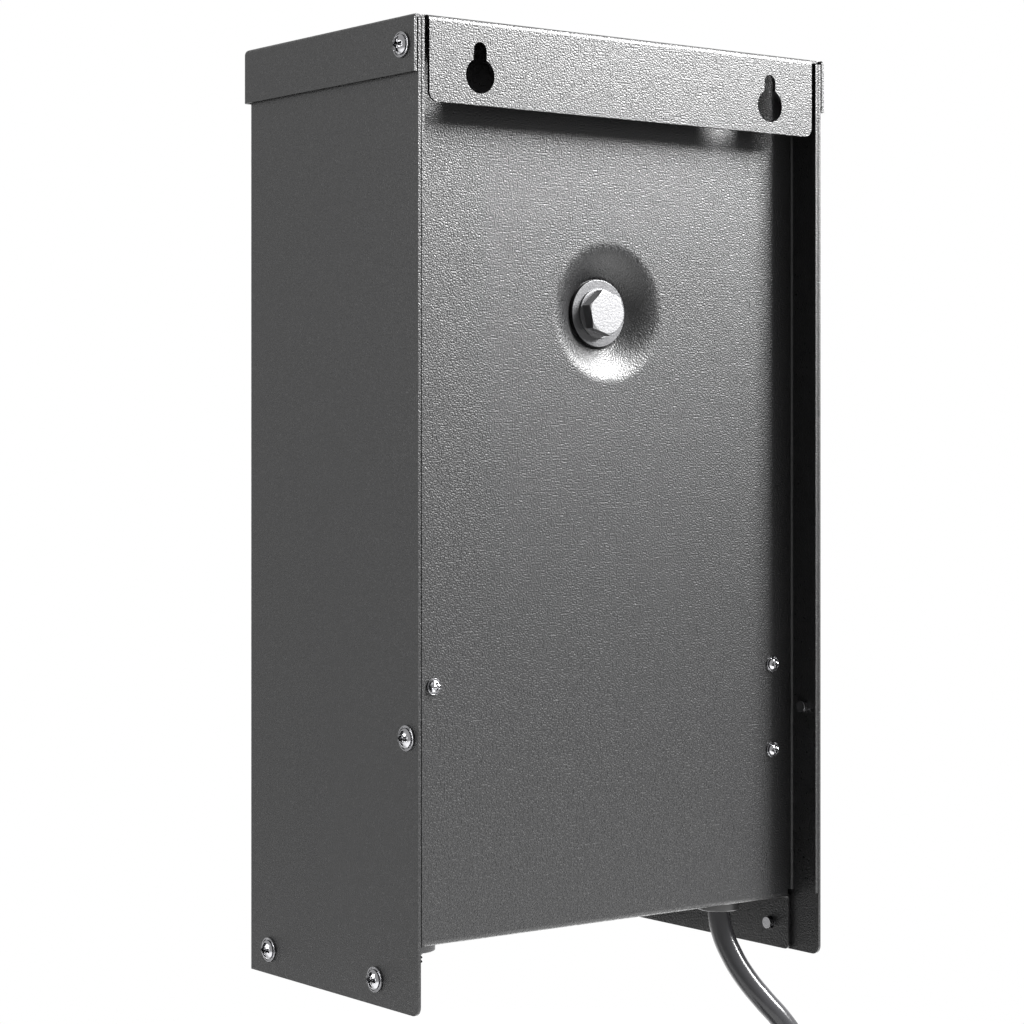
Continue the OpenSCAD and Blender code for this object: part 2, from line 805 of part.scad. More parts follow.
module case_screws() {
    color("#8d8a86")
    from_skirt()
    for (side = [-1, 1]) {
        for (at = side_holes)
            translate([side * half_w, -at[0], at[1]]) rotate([0, side * 90, 0]) case_screw();
        translate([side * cap_out_x, -cap_hole[0], cap_hole[1]]) rotate([0, side * 90, 0]) case_screw();
    }
}

// The places of the rivets that hold the fixed hinge leaves, as X and Z
rivet_places = [
    for (z = hinge_heights, step = [-1, 1])
    [hinge_x - leaf_w + rivet_edge, z + hinge_h / 2 + step * rivet_pitch / 2]
];

module door_panel() {
    color("#3a3a3c")
    from_skirt()
    difference() {
        door_block(0);
        door_block(sheet);
        translate([latch_x, -door_face - over, door_mid])
            to_wall() cylinder(h = sheet + 2 * over, r = latch_barrel_r + hole_gap);
    }
}

// The door as a solid with rounded front edges, or the hollow behind it, smaller by an inset
module door_block(inset) {
    r = bend_r - inset;
    x = door_w / 2 - inset;
    low = door_low + inset;
    high = door_low + door_h - inset;
    front = door_face - inset;
    back = door_back - (inset > 0 ? over : 0);
    box([-x + r, -front, low + r], [x - r, -back, high - r]);
    box([-x, -front + r, low + r], [x, -back, high - r]);
    box([-x + r, -front + r, low], [x - r, -back, high]);
    for (sx = [-x + r, x - r]) {
        translate([sx, -front + r, low + r]) cylinder(h = high - low - 2 * r, r = r);
        for (sz = [low + r, high - r]) {
            translate([sx, -front + r, sz]) sphere(r);
            translate([sx, -back, sz]) to_front() cylinder(h = front - r - back, r = r);
        }
    }
    for (sz = [low + r, high - r])
        translate([-x + r, -front + r, sz]) rotate([0, 90, 0]) cylinder(h = 2 * x - 2 * r, r = r);
}

module door_gasket() {
    outer_x = door_w / 2 - bend_r - seat_gap;
    outer_low = door_low + bend_r + seat_gap;
    outer_high = door_low + door_h - bend_r - seat_gap;
    color("#1c1c1c")
    from_skirt()
    along_y(case_d + pass_gap, door_face - sheet)
        difference() {
            round_rect([-outer_x, outer_low], [outer_x, outer_high], bend_r);
            round_rect(
                [-outer_x + gasket_w, outer_low + gasket_w],
                [outer_x - gasket_w, outer_high - gasket_w],
                bend_r);
        }
}

// The three knuckles of one hinge: 0 and 2 are fixed, 1 swings
module knuckle(z, k) {
    share = hinge_h / 3;
    inset = k == 1 ? hinge_gap : 0;
    translate([hinge_x, hinge_y, z + k * share + inset])
        children(0);
}

module door_hinge_leaves() {
    knuckle_l = hinge_h / 3 - 2 * hinge_gap;
    color("#4a4a4c")
    from_skirt()
    for (z = hinge_heights)
        difference() {
            union() {
                box([-door_w / 2 - leaf_t, hinge_y - knuckle_r, z],
                    [-door_w / 2, -door_back - over, z + hinge_h]);
                knuckle(z, 1) union() {
                    cylinder(h = knuckle_l, r = knuckle_r);
                    box([0, -knuckle_r, 0], [knuckle_r + hinge_gap, -knuckle_r + leaf_t, knuckle_l]);
                }
            }
            translate([hinge_x, hinge_y, z - over])
                cylinder(h = hinge_h + 2 * over, r = hinge_pin_r + run_gap);
        }
}

module frame_hinge_leaves() {
    knuckle_l = hinge_h / 3;
    color("#4a4a4c")
    from_skirt()
    for (z = hinge_heights)
        difference() {
            union() {
                box([hinge_x - leaf_w, -case_d - leaf_t, z], [hinge_x, -case_d, z + hinge_h]);
                for (k = [0, 2])
                    knuckle(z, k) union() {
                        cylinder(h = knuckle_l, r = knuckle_r);
                        box([-knuckle_r, 0, 0],
                            [-knuckle_r + leaf_t, knuckle_r + hinge_gap + leaf_t, knuckle_l]);
                    }
            }
            translate([hinge_x, hinge_y, z - over])
                cylinder(h = hinge_h + 2 * over, r = hinge_pin_r + run_gap);
            for (at = rivet_places)
                translate([at[0], -case_d + over, at[1]])
                    to_front() cylinder(h = leaf_t + 2 * over, r = rivet_r + hole_gap);
        }
}

module hinge_pins() {
    color("#b9b9bb")
    from_skirt()
    for (z = hinge_heights)
        translate([hinge_x, hinge_y, z]) {
            cylinder(h = hinge_h + seat_gap, r = hinge_pin_r);
            translate([0, 0, hinge_h + seat_gap]) cylinder(h = pin_head_h, r = pin_head_r);
        }
}

module hinge_rivets() {
    color("#5a5a5c")
    from_skirt()
    for (at = rivet_places)
        translate([at[0], -case_d - leaf_t, at[1]]) {
            to_front() intersection() {
                cylinder(h = rivet_head_h, r = rivet_head_r);
                translate([0, 0, rivet_head_h - 2 * rivet_head_r]) sphere(2 * rivet_head_r);
            }
            to_wall() cylinder(h = leaf_t + sheet, r = rivet_r);
            translate([0, leaf_t + sheet, 0]) to_wall() cylinder(h = rivet_head_h, r = rivet_head_r);
        }
}

module latch_housing() {
    color("#9b9da0")
    from_skirt()
    translate([latch_x, 0, door_mid])
    difference() {
        union() {
            translate([0, -door_face, 0]) to_front() cylinder(h = latch_flange_h, r = latch_flange_r);
            translate([0, -door_face, 0]) to_wall() cylinder(h = door_face - front_in, r = latch_barrel_r);
        }
        translate([0, -door_face - latch_flange_h - over, 0])
            to_wall() cylinder(h = door_t + case_d, r = latch_shaft_r + run_gap);
    }
}

module latch_nut() {
    color("#9b9da0")
    from_skirt()
    translate([latch_x, -door_face + sheet, door_mid])
        to_wall()
        difference() {
            hex_block(latch_nut_w, latch_nut_h, hex_chamfer);
            translate([0, 0, -over]) cylinder(h = latch_nut_h + 2 * over, r = latch_barrel_r + seat_gap);
        }
}

module latch_knob() {
    knob_back = door_face + latch_flange_h + hinge_gap;
    shaft_end = cam_face - cam_t;
    color("#2a2a2b")
    from_skirt()
    translate([latch_x, 0, door_mid])
    difference() {
        union() {
            translate([0, -knob_back, 0]) to_front() {
                cylinder(h = latch_disc_h, r = latch_disc_r);
                linear_extrude(latch_wing_h)
                    round_rect([-latch_wing_w / 2, -latch_wing_l / 2], [latch_wing_w / 2, latch_wing_l / 2],
                        latch_wing_w / 2 - seat_gap);
            }
            translate([0, -knob_back, 0]) to_wall() cylinder(h = knob_back - cam_face, r = latch_shaft_r);
            box([-cam_square / 2, -cam_face, -cam_square / 2], [cam_square / 2, -shaft_end, cam_square / 2]);
        }
        translate([0, -shaft_end + over, 0])
            to_front() cylinder(h = cam_screw_l + over, r = cam_screw_r + run_gap);
    }
}

module latch_cam() {
    color("#b9b9bb")
    from_skirt()
    translate([latch_x, -cam_face + cam_t, door_mid])
        to_front()
        linear_extrude(cam_t)
            difference() {
                union() {
                    circle(cam_w / 2);
                    translate([-cam_w / 2, -cam_reach + cam_w / 2]) square([cam_w, cam_reach - cam_w / 2]);
                    translate([0, -cam_reach + cam_w / 2]) circle(cam_w / 2);
                }
                translate([-cam_square / 2 - run_gap, -cam_square / 2 - run_gap])
                    square(cam_square + 2 * run_gap);
            }
}

module latch_screw() {
    color("#b9b9bb")
    from_skirt()
    translate([latch_x, -cam_face + cam_t, door_mid])
        to_wall()
        difference() {
            union() {
                cylinder(h = cam_screw_head_h, r = cam_screw_head_r);
                translate([0, 0, -cam_screw_l + seat_gap])
                    cylinder(h = cam_screw_l - seat_gap, r = cam_screw_r);
            }
            for (turn = [0, 90])
                rotate([0, 0, turn])
                    box([-small_cross_l / 2, -small_cross_w / 2, cam_screw_head_h - small_cross_depth],
                        [small_cross_l / 2, small_cross_w / 2, cam_screw_head_h + over]);
        }
}

// The outline of one ring of the toroid, as radius and height above its middle, with round corners
module ring_outline(inset, r) {
    round_rect(
        [toroid_hole_r + inset, -toroid_t / 2 + inset],
        [toroid_r - inset, toroid_t / 2 - inset],
        r);
}

module on_toroid() {
    from_skirt()
        translate([toroid_x, -(toroid_back + toroid_front) / 2, toroid_z]) to_front() children();
}

// One layer of the toroid, from an inset to a greater inset
module toroid_layer(outer, inner, outer_round, inner_round) {
    on_toroid()
        rotate_extrude()
            difference() {
                ring_outline(outer, outer_round);
                ring_outline(inner, inner_round);
            }
}

secondary_in = tape_t + seat_gap;
primary_in = secondary_in + secondary_t + seat_gap;
core_in = primary_in + primary_t + seat_gap;

module outer_tape() {
    color("#c9a227") toroid_layer(0, tape_t, toroid_round, toroid_round - tape_t);
}

module secondary_winding() {
    color("#b5651d")
        toroid_layer(secondary_in, secondary_in + secondary_t, toroid_round - secondary_in,
            toroid_round - secondary_in - secondary_t);
}

module primary_winding() {
    color("#a65a2a")
        toroid_layer(primary_in, primary_in + primary_t, toroid_round - primary_in, core_round / 2);
}

module toroid_core() {
    color("#6e7074") on_toroid() rotate_extrude() ring_outline(core_in, core_round / 2);
}

module pad_ring(back, hole_r) {
    from_skirt()
        translate([toroid_x, -back, toroid_z])
        to_front()
        difference() {
            cylinder(h = pad_t, r = toroid_r - pad_margin);
            translate([0, 0, -over]) cylinder(h = pad_t + 2 * over, r = hole_r);
        }
}

module rear_pad() {
    color("#202020") pad_ring(panel_front, rear_pad_hole_r);
}

module front_pad() {
    color("#202020") pad_ring(toroid_front, toroid_hole_r + seat_gap);
}

module clamp_plate() {
    color("#b9b9bb")
    from_skirt()
    translate([toroid_x, -clamp_back - clamp_t, toroid_z])
        to_wall() {
            difference() {
                cylinder(h = clamp_t, r = toroid_r - clamp_margin);
                translate([0, 0, -over]) cylinder(h = clamp_t + 2 * over, r = clamp_dish_rim_r + clamp_t / 2);
            }
            dish(bolt_hole_r, dish_floor_d / 2, clamp_dish_rim_r, clamp_dish_depth, clamp_t);
        }
}

module centre_bolt() {
    color("#d8d8da")
    from_skirt()
    translate([toroid_x, -dish_floor_back + washer_t, toroid_z]) {
        to_wall() {
            cylinder(h = bolt_face_h, r = bolt_face_r);
            translate([0, 0, bolt_face_h]) rotate([0, 0, bolt_turn]) hex_block(hex_w, bolt_head_h, hex_chamfer);
        }
        to_front() cylinder(h = bolt_l, r = bolt_r);
    }
}

module flat_washer() {
    difference() {
        cylinder(h = washer_t, r = washer_r);
        translate([0, 0, -over]) cylinder(h = washer_t + 2 * over, r = bolt_hole_r);
    }
}

module bolt_washers() {
    color("#d8d8da")
    from_skirt() {
        translate([toroid_x, -dish_floor_back, toroid_z]) to_wall() flat_washer();
        translate([toroid_x, -clamp_floor, toroid_z]) to_front() flat_washer();
    }
}

module clamp_nut() {
    color("#d8d8da")
    from_skirt()
    translate([toroid_x, -clamp_floor - washer_t, toroid_z])
        to_front()
        difference() {
            union() {
                hex_block(hex_w, nut_h - nut_collar_h, hex_chamfer);
                cylinder(h = nut_h, r = nut_collar_r);
            }
            translate([0, 0, -over]) cylinder(h = nut_h + 2 * over, r = bolt_r + run_gap);
        }
}

// Where the control panel is screwed to the back panel, as X and Z
panel_screw_places = [
    [right_screw_x, panel_screw_high_z],
    [left_screw_x, panel_screw_high_z],
    [left_screw_x, panel_screw_low_z]
];

module control_panel() {
    left_low = panel_screw_low_z - left_foot_drop;
    right_low = panel_screw_high_z - right_foot_drop;
    color("#c4c6c8")
    from_skirt()
    difference() {
        union() {
            box([control_left, -control_y, control_low], [control_right, -control_y + sheet, control_top]);
            box([control_left, -control_y, left_low], [control_left + sheet, -panel_front, control_top]);
            box([control_right - sheet, -control_y, right_low], [control_right, -panel_front, control_top]);
            box([control_left, -panel_front - sheet, left_low],
                [control_left + foot_w, -panel_front, control_top]);
            box([control_right - foot_w, -panel_front - sheet, right_low],
                [control_right, -panel_front, control_top]);
        }
        for (at = panel_screw_places)
            translate([at[0], -panel_front + over, at[1]])
                to_front() cylinder(h = sheet + 2 * over, r = small_screw_r + run_gap);
        along_y(control_y - sheet - over, control_y + over)
            round_rect(
                [timer_mid - timer_w / 2 + timer_cutout_margin, timer_z - timer_h / 2 + timer_cutout_margin],
                [timer_mid + timer_w / 2 - timer_cutout_margin, timer_z + timer_h / 2 - timer_cutout_margin],
                timer_round - timer_cutout_margin);
        along_y(control_y - sheet - over, control_y + over)
            round_rect(
                [block_mid - lead_slot_w / 2, block_z + block_h / 2 + seat_gap],
                [block_mid + lead_slot_w / 2, block_z + block_h / 2 + seat_gap + lead_slot_h],
                timer_wall);
        for (side = [-1, 1])
            translate([block_mid + side * (block_w - block_ear) / 2, -control_y - over, block_z])
                to_wall() cylinder(h = sheet + 2 * over, r = small_screw_r + run_gap);
    }
}

module panel_screws() {
    color("#a7a7a9")
    from_skirt()
    for (at = panel_screw_places)
        translate([at[0], -recess_d, at[1]]) to_wall() small_screw(small_screw_l);
}

lens_z = timer_z + timer_h / 2 - lens_top_gap - lens_h / 2;
button_z = timer_z - timer_h / 2 + button_low_gap + button_h / 2;
timer_face = control_y + timer_front_t;
lens_front = timer_face - lens_seat_t - seat_gap;
lens_back = lens_front - lens_t;
flange_front = timer_face - timer_wall - seat_gap;
switch_front = flange_front - button_flange_t - key_travel - seat_gap;
board_front = switch_front - switch_t;
board_back = board_front - board_t;

function button_x(k) = timer_mid + (k - 1.5) * button_pitch;

module timer_outline(inset) {
    round_rect(
        [timer_mid - timer_w / 2 + inset, timer_z - timer_h / 2 + inset],
        [timer_mid + timer_w / 2 - inset, timer_z + timer_h / 2 - inset],
        timer_round - inset);
}

module lens_outline(grow) {
    round_rect(
        [timer_mid - lens_w / 2 - grow, lens_z - lens_h / 2 - grow],
        [timer_mid + lens_w / 2 + grow, lens_z + lens_h / 2 + grow],
        lens_lip + grow);
}

module timer_front() {
    color("#2b2d30")
    from_skirt()
    difference() {
        along_y(control_y, timer_face) timer_outline(0);
        along_y(control_y - over, timer_face - timer_wall) timer_outline(timer_wall);
        along_y(timer_face - timer_wall - over, timer_face + over) lens_outline(-lens_lip);
        along_y(timer_face - timer_wall - over, timer_face - lens_seat_t) lens_outline(seat_gap);
        for (k = [0:3])
            along_y(timer_face - timer_wall - over, timer_face + over)
                round_rect(
                    [button_x(k) - button_w / 2 - run_gap, button_z - button_h / 2 - run_gap],
                    [button_x(k) + button_w / 2 + run_gap, button_z + button_h / 2 + run_gap],
                    lens_lip + run_gap);
    }
}

module timer_back() {
    inset = timer_cutout_margin + seat_gap;
    color("#2b2d30")
    from_skirt()
    difference() {
        along_y(control_y - sheet - timer_back_t, board_back - seat_gap) timer_outline(inset);
        along_y(control_y - sheet - timer_back_t + timer_wall, board_back + over)
            round_rect(
                [timer_mid - timer_w / 2 + inset + timer_wall, timer_z - timer_h / 2 + inset + timer_wall],
                [timer_mid + timer_w / 2 - inset - timer_wall, timer_z + timer_h / 2 - inset - timer_wall],
                timer_wall / 2);
    }
}

module timer_lens() {
    color("#9fb3bd")
    from_skirt()
    along_y(lens_back, lens_front) lens_outline(0);
}

module timer_display() {
    color("#8a9a7c")
    from_skirt()
    along_y(board_front, lens_back - seat_gap) lens_outline(-lens_lip);
}

module timer_board() {
    color("#2f6b45")
    from_skirt()
    along_y(board_back, board_front) timer_outline(timer_wall + seat_gap);
}

module timer_relay() {
    color("#2a55a0")
    from_skirt()
    box([timer_mid + relay_off - relay_w / 2, -board_back, timer_z - relay_h / 2],
        [timer_mid + relay_off + relay_w / 2, -board_back + relay_t, timer_z + relay_h / 2]);
}

module timer_battery() {
    color("#b8babd")
    from_skirt()
    translate([timer_mid - battery_off, -board_back, timer_z])
        to_wall() cylinder(h = battery_t, r = battery_r);
}

module button_switches() {
    color("#c9cacc")
    from_skirt()
    for (k = [0:3])
        box([button_x(k) - switch_w / 2, -switch_front, button_z - switch_w / 2],
            [button_x(k) + switch_w / 2, -board_front, button_z + switch_w / 2]);
}

// One push button of the timer: its cap, and the flange that keeps it in the housing
module timer_button(k) {
    from_skirt() {
        along_y(flange_front, timer_face + button_proud)
            round_rect([button_x(k) - button_w / 2, button_z - button_h / 2],
                [button_x(k) + button_w / 2, button_z + button_h / 2], lens_lip);
        along_y(flange_front - button_flange_t, flange_front)
            round_rect(
                [button_x(k) - button_w / 2 - button_flange, button_z - button_h / 2 - button_flange],
                [button_x(k) + button_w / 2 + button_flange, button_z + button_h / 2 + button_flange],
                lens_lip);
    }
}

module set_button() {
    color("#d9dadb") timer_button(0);
}

module up_button() {
    color("#d9dadb") timer_button(1);
}

module down_button() {
    color("#d9dadb") timer_button(2);
}

module mode_button() {
    color("#c8641e") timer_button(3);
}

function pole_x(k) = block_mid + (k - (block_poles - 1) / 2) * block_pole;

module terminal_block() {
    color("#1d1d1f")
    from_skirt()
    difference() {
        union() {
            along_y(control_y, block_face)
                round_rect([block_mid - block_w / 2, block_z - block_h / 2],
                    [block_mid + block_w / 2, block_z + block_h / 2], barrier_t / 2);
            for (k = [0:block_poles])
                translate([pole_x(k) - block_pole / 2, -block_face, block_z])
                    box([-barrier_t / 2, -block_wall_h, -block_h / 2], [barrier_t / 2, 0, block_h / 2]);
        }
        for (k = [0:block_poles - 1])
            translate([pole_x(k), -block_face - over, block_z])
                to_wall() cylinder(h = clamp_screw_l + over, r = clamp_screw_r + run_gap);
        for (side = [-1, 1])
            translate([block_mid + side * (block_w - block_ear) / 2, -block_face - over, block_z])
                to_wall() cylinder(h = block_base_t + 2 * over, r = small_screw_r + hole_gap);
    }
}

module terminal_clamps() {
    color("#c8a24a")
    from_skirt()
    for (k = [0:block_poles - 1])
        difference() {
            box([pole_x(k) - clamp_bar_w / 2, -block_face - clamp_bar_t, block_z - clamp_bar_h / 2],
                [pole_x(k) + clamp_bar_w / 2, -block_face, block_z + clamp_bar_h / 2]);
            translate([pole_x(k), -block_face - clamp_bar_t - over, block_z])
                to_wall() cylinder(h = clamp_bar_t + 2 * over, r = clamp_screw_r + hole_gap);
        }
}

module terminal_screws() {
    color("#c9c9cb")
    from_skirt()
    for (k = [0:block_poles - 1])
        translate([pole_x(k), -block_face - clamp_bar_t, block_z]) {
            to_front() difference() {
                cylinder(h = clamp_screw_head_h, r = clamp_screw_head_r);
                box([-clamp_screw_head_r - over, -screw_slot_w / 2, clamp_screw_head_h - screw_slot_depth],
                    [clamp_screw_head_r + over, screw_slot_w / 2, clamp_screw_head_h + over]);
            }
            to_wall() cylinder(h = clamp_screw_l, r = clamp_screw_r);
        }
}

module block_screws() {
    color("#c9c9cb")
    from_skirt()
    for (side = [-1, 1])
        translate([block_mid + side * (block_w - block_ear) / 2, -block_face, block_z])
            to_front() small_screw(block_screw_l);
}

module on_breaker() {
    from_skirt() translate([breaker_x, -breaker_back, 0]) children();
}

// The breaker's threaded neck, below the plate, as rings of the thread's pitch
module neck_thread() {
    turns = floor(neck_l / thread_pitch);
    rotate_extrude()
        polygon(concat(
            [[0, 0]],
            [for (k = [0:turns - 1]) each [
                [neck_r - thread_depth, -k * thread_pitch],
                [neck_r, -(k + 0.5) * thread_pitch]
            ]],
            [[neck_r - thread_depth, -turns * thread_pitch], [neck_r - thread_depth, -neck_l], [0, -neck_l]]
        ));
}

module breaker_body() {
    color("#1a1a1c")
    on_breaker()
    difference() {
        union() {
            translate([0, 0, plate_top])
                linear_extrude(breaker_h)
                    round_rect([-breaker_w / 2, -breaker_d / 2], [breaker_w / 2, breaker_d / 2], bend_r);
            translate([0, 0, skirt_h]) cylinder(h = sheet, r = neck_r - thread_depth);
            translate([0, 0, skirt_h]) neck_thread();
        }
        translate([0, 0, skirt_h - neck_l - over])
            cylinder(h = neck_l + reset_pocket + over, r = reset_r + run_gap);
        translate([0, 0, skirt_h - neck_l + 2 * reset_flange_h])
            cylinder(h = neck_l + reset_pocket - 2 * reset_flange_h, r = reset_flange_r + run_gap);
        for (side = [-1, 1])
            translate([side * blade_spread / 2, 0, plate_top + breaker_h - blade_in])
                box([-blade_t / 2 - seat_gap, -blade_w / 2 - seat_gap, 0],
                    [blade_t / 2 + seat_gap, blade_w / 2 + seat_gap, blade_in + over]);
    }
}

module breaker_nut() {
    color("#1a1a1c")
    on_breaker()
    translate([0, 0, skirt_h - breaker_nut_h])
        difference() {
            cylinder(h = breaker_nut_h, r = breaker_nut_r);
            translate([0, 0, -over]) cylinder(h = breaker_nut_h + 2 * over, r = neck_r + seat_gap);
        }
}

module breaker_button() {
    flange_low = skirt_h - neck_l + 2 * reset_flange_h + seat_gap;
    color("#b3261e")
    on_breaker() {
        translate([0, 0, skirt_h - neck_l - reset_proud])
            cylinder(h = neck_l + reset_proud, r = reset_r);
        translate([0, 0, flange_low]) cylinder(h = reset_flange_h, r = reset_flange_r);
    }
}

module breaker_blades() {
    color("#c9c9cb")
    on_breaker()
    for (side = [-1, 1])
        translate([side * blade_spread / 2, 0, plate_top + breaker_h - blade_in])
            box([-blade_t / 2, -blade_w / 2, seat_gap], [blade_t / 2, blade_w / 2, blade_h]);
}

module strain_relief() {
    color("#161617")
    from_skirt()
    translate([gland_x, -gland_back, 0])
    difference() {
        union() {
            translate([0, 0, skirt_h - gland_flange_h]) cylinder(h = gland_flange_h, r = gland_flange_r);
            translate([0, 0, skirt_h]) cylinder(h = gland_h, r = gland_r);
            for (k = [0:gland_ribs - 1])
                translate([0, 0, plate_top + seat_gap + 2 * k * gland_rib_h])
                    cylinder(h = gland_rib_h, r1 = gland_rib_r, r2 = gland_r);
        }
        translate([0, 0, skirt_h - gland_flange_h - over])
            cylinder(h = gland_h + gland_flange_h + 2 * over, r = gland_bore_r);
    }
}

module cable_grommet() {
    color("#161617")
    from_skirt()
    translate([grommet_x, -grommet_back, 0])
    difference() {
        union() {
            translate([0, 0, skirt_h - grommet_flange_h])
                cylinder(h = grommet_flange_h, r = grommet_flange_r);
            translate([0, 0, skirt_h]) cylinder(h = sheet, r = grommet_hole_r);
            translate([0, 0, plate_top]) cylinder(h = grommet_flange_h, r = grommet_flange_r);
        }
        translate([0, 0, skirt_h - grommet_flange_h - over])
            cylinder(h = sheet + 2 * grommet_flange_h + 2 * over, r = grommet_bore_r);
    }
}

module ground_screw() {
    color("#3f7d3f")
    from_skirt()
    translate([ground_x, -ground_back, plate_top + lug_t]) small_screw(ground_l);
}

module ground_lug() {
    color("#c9c9cb")
    from_skirt()
    translate([ground_x, -ground_back, plate_top])
        linear_extrude(lug_t)
            difference() {
                union() {
                    circle(lug_r);
                    translate([-lug_tail_l, -lug_tail_w / 2]) square([lug_tail_l, lug_tail_w]);
                }
                circle(small_screw_r + hole_gap);
            }
}

// Places given as offsets from one place
function offsets(places, origin) = [for (p = places) origin + p];

// Where a supply lead ends under the toroid, on one side
function toroid_end(side) = [
    toroid_x + side * (toroid_r + lead_gap) * sin(lead_angle),
    -toroid_back - lead_in,
    toroid_z - (toroid_r + lead_gap) * cos(lead_angle)
];

// The top of one of the breaker's blades
function blade_end(side) =
    [breaker_x + side * blade_spread / 2, -breaker_back, plate_top + breaker_h - blade_in + blade_h];

module supply_leads() {
    cord_end = [gland_x, -gland_back, skirt_h + gland_h];
    lug = [ground_x, -ground_back, plate_top + lug_t];
    r = supply_lead_d / 2;
    from_skirt() {
        color("#2b2b2d")
            tube(concat(offsets(black_start, cord_end), offsets(black_end, blade_end(-1))), r, lead_sides);
        color("#e6e6e4")
            tube(concat(offsets(white_start, cord_end), offsets(white_end, toroid_end(-1))), r, lead_sides);
        color("#2f7d3a")
            tube(concat(offsets(green_start, cord_end), offsets(green_end, lug)), r, lead_sides);
        color("#2b2b2d")
            tube(concat(offsets(load_start, blade_end(1)), offsets(load_end, toroid_end(1))), r, lead_sides);
    }
}

// The lead to one terminal: down behind the timer, forward through the slot and down to the clamp
function lead_route(k) =
    let (
        x = pole_x(k),
        back = -toroid_back - toroid_round - secondary_lead_d / 2 - pass_gap,
        off = max(abs(x - toroid_x) - secondary_lead_d / 2, 0),
        top = toroid_z - sqrt(toroid_r * toroid_r - off * off),
        slot = block_z + block_h / 2 + seat_gap + lead_slot_h / 2,
        front = -block_face - clamp_bar_t - clamp_screw_head_h / 2,
        end = block_z + clamp_bar_h / 2
    ) [
        [x, back, top - pass_gap],
        [x, back, top - lead_drop_z],
        [x, back, slot + 2 * lead_bend],
        [x, back - lead_bend / 2, slot + lead_bend],
        [x, back - 2 * lead_bend, slot],
        [x, front + lead_bend, slot],
        [x, front + lead_bend / 4, slot - lead_bend / 4],
        [x, front, slot - lead_bend],
        [x, front, end + pass_gap]
    ];

module secondary_leads() {
    color("#8d8f92")
        from_skirt()
        for (k = [0:block_poles - 1]) tube(lead_route(k), secondary_lead_d / 2, lead_sides);
}

// Puts what is drawn from the strain relief's axis and the skirt's lower edge in its place
module on_gland() {
    from_skirt() translate([gland_x, -gland_back, 0]) children();
}

module supply_cord_run() {
    color("#1b1b1d") on_gland() tube(run_route, cord_r, cord_sides);
}

module supply_cord_coil() {
    color("#1b1b1d") on_gland() tube(coil_route, cord_r, coil_sides);
}

module supply_cord_tail() {
    color("#1b1b1d") on_gland() tube(tail_route, cord_r, cord_sides);
}

// The straps that hold the coil's turns together, one on each side
module cord_ties() {
    low_y = coil_start[1] - coil_pitch - cord_r - tie_gap;
    high_y = coil_start[1] + cord_r + tie_gap;
    color("#26262a")
    on_gland()
    for (side = [-1, 1]) {
        outer = coil_radius(side < 0 ? 0 : 0.5) + cord_r + tie_gap;
        inner = coil_radius(side < 0 ? floor(coil_mid_turn) : coil_mid_turn) - cord_r - tie_gap;
        translate([coil_x, 0, coil_start[2] - tie_h / 2])
            mirror([side < 0 ? 1 : 0, 0, 0]) {
                linear_extrude(tie_h)
                    difference() {
                        round_rect([inner - tie_t, low_y - tie_t], [outer + tie_t, high_y + tie_t], cord_r);
                        round_rect([inner, low_y], [outer, high_y], cord_r - tie_t);
                    }
                box([outer - tie_head_l - cord_r, low_y - tie_t - tie_head_t, -tie_h / 4],
                    [outer - cord_r, low_y - tie_t / 2, tie_h + tie_h / 4]);
            }
    }
}

module on_plug() {
    on_gland() translate(plug_end) children();
}

module plug_body() {
    color("#18181a")
    on_plug()
    difference() {
        union() {
            cylinder(h = plug_neck_l, r1 = plug_neck_r + cord_r / 2, r2 = plug_neck_r);
            translate([0, 0, -plug_l])
                linear_extrude(plug_l)
                    round_rect([-plug_w / 2, -plug_t / 2], [plug_w / 2, plug_t / 2], plug_round);
        }
        cylinder(h = plug_neck_l + over, r = cord_r + plug_bore_gap);
    }
}

module plug_blades() {
    color("#c9c9cb")
    on_plug()
    for (side = [-1, 1])
        translate([side * mains_blade_spread / 2, mains_blade_off, -plug_l - mains_blade_l])
            box([-mains_blade_t / 2, -mains_blade_w / 2, 0],
                [mains_blade_t / 2, mains_blade_w / 2, mains_blade_l]);
}

module plug_ground_pin() {
    color("#c9c9cb")
    on_plug()
    translate([0, mains_blade_off - mains_pin_off, -plug_l - mains_pin_l])
        cylinder(h = mains_pin_l, r = mains_pin_r);
}

outer_wrap();
back_chassis();
top_cap();
case_screws();
door_panel();
door_gasket();
door_hinge_leaves();
frame_hinge_leaves();
hinge_pins();
hinge_rivets();
latch_housing();
latch_nut();
latch_knob();
latch_cam();
latch_screw();
toroid_core();
primary_winding();
secondary_winding();
outer_tape();
rear_pad();
front_pad();
clamp_plate();
centre_bolt();
bolt_washers();
clamp_nut();
control_panel();
panel_screws();
timer_front();
timer_back();
timer_lens();
timer_display();
timer_board();
timer_relay();
timer_battery();
button_switches();
set_button();
up_button();
down_button();
mode_button();
terminal_block();
terminal_clamps();
terminal_screws();
block_screws();
breaker_body();
breaker_nut();
breaker_button();
breaker_blades();
strain_relief();
cable_grommet();
ground_screw();
ground_lug();
supply_leads();
secondary_leads();
supply_cord_run();
supply_cord_coil();
supply_cord_tail();
cord_ties();
plug_body();
plug_blades();
plug_ground_pin();
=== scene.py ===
import json
import math

import bmesh
import bpy
from bpy.props import FloatProperty, FloatVectorProperty, IntProperty, PointerProperty
from mathutils import Matrix, Vector


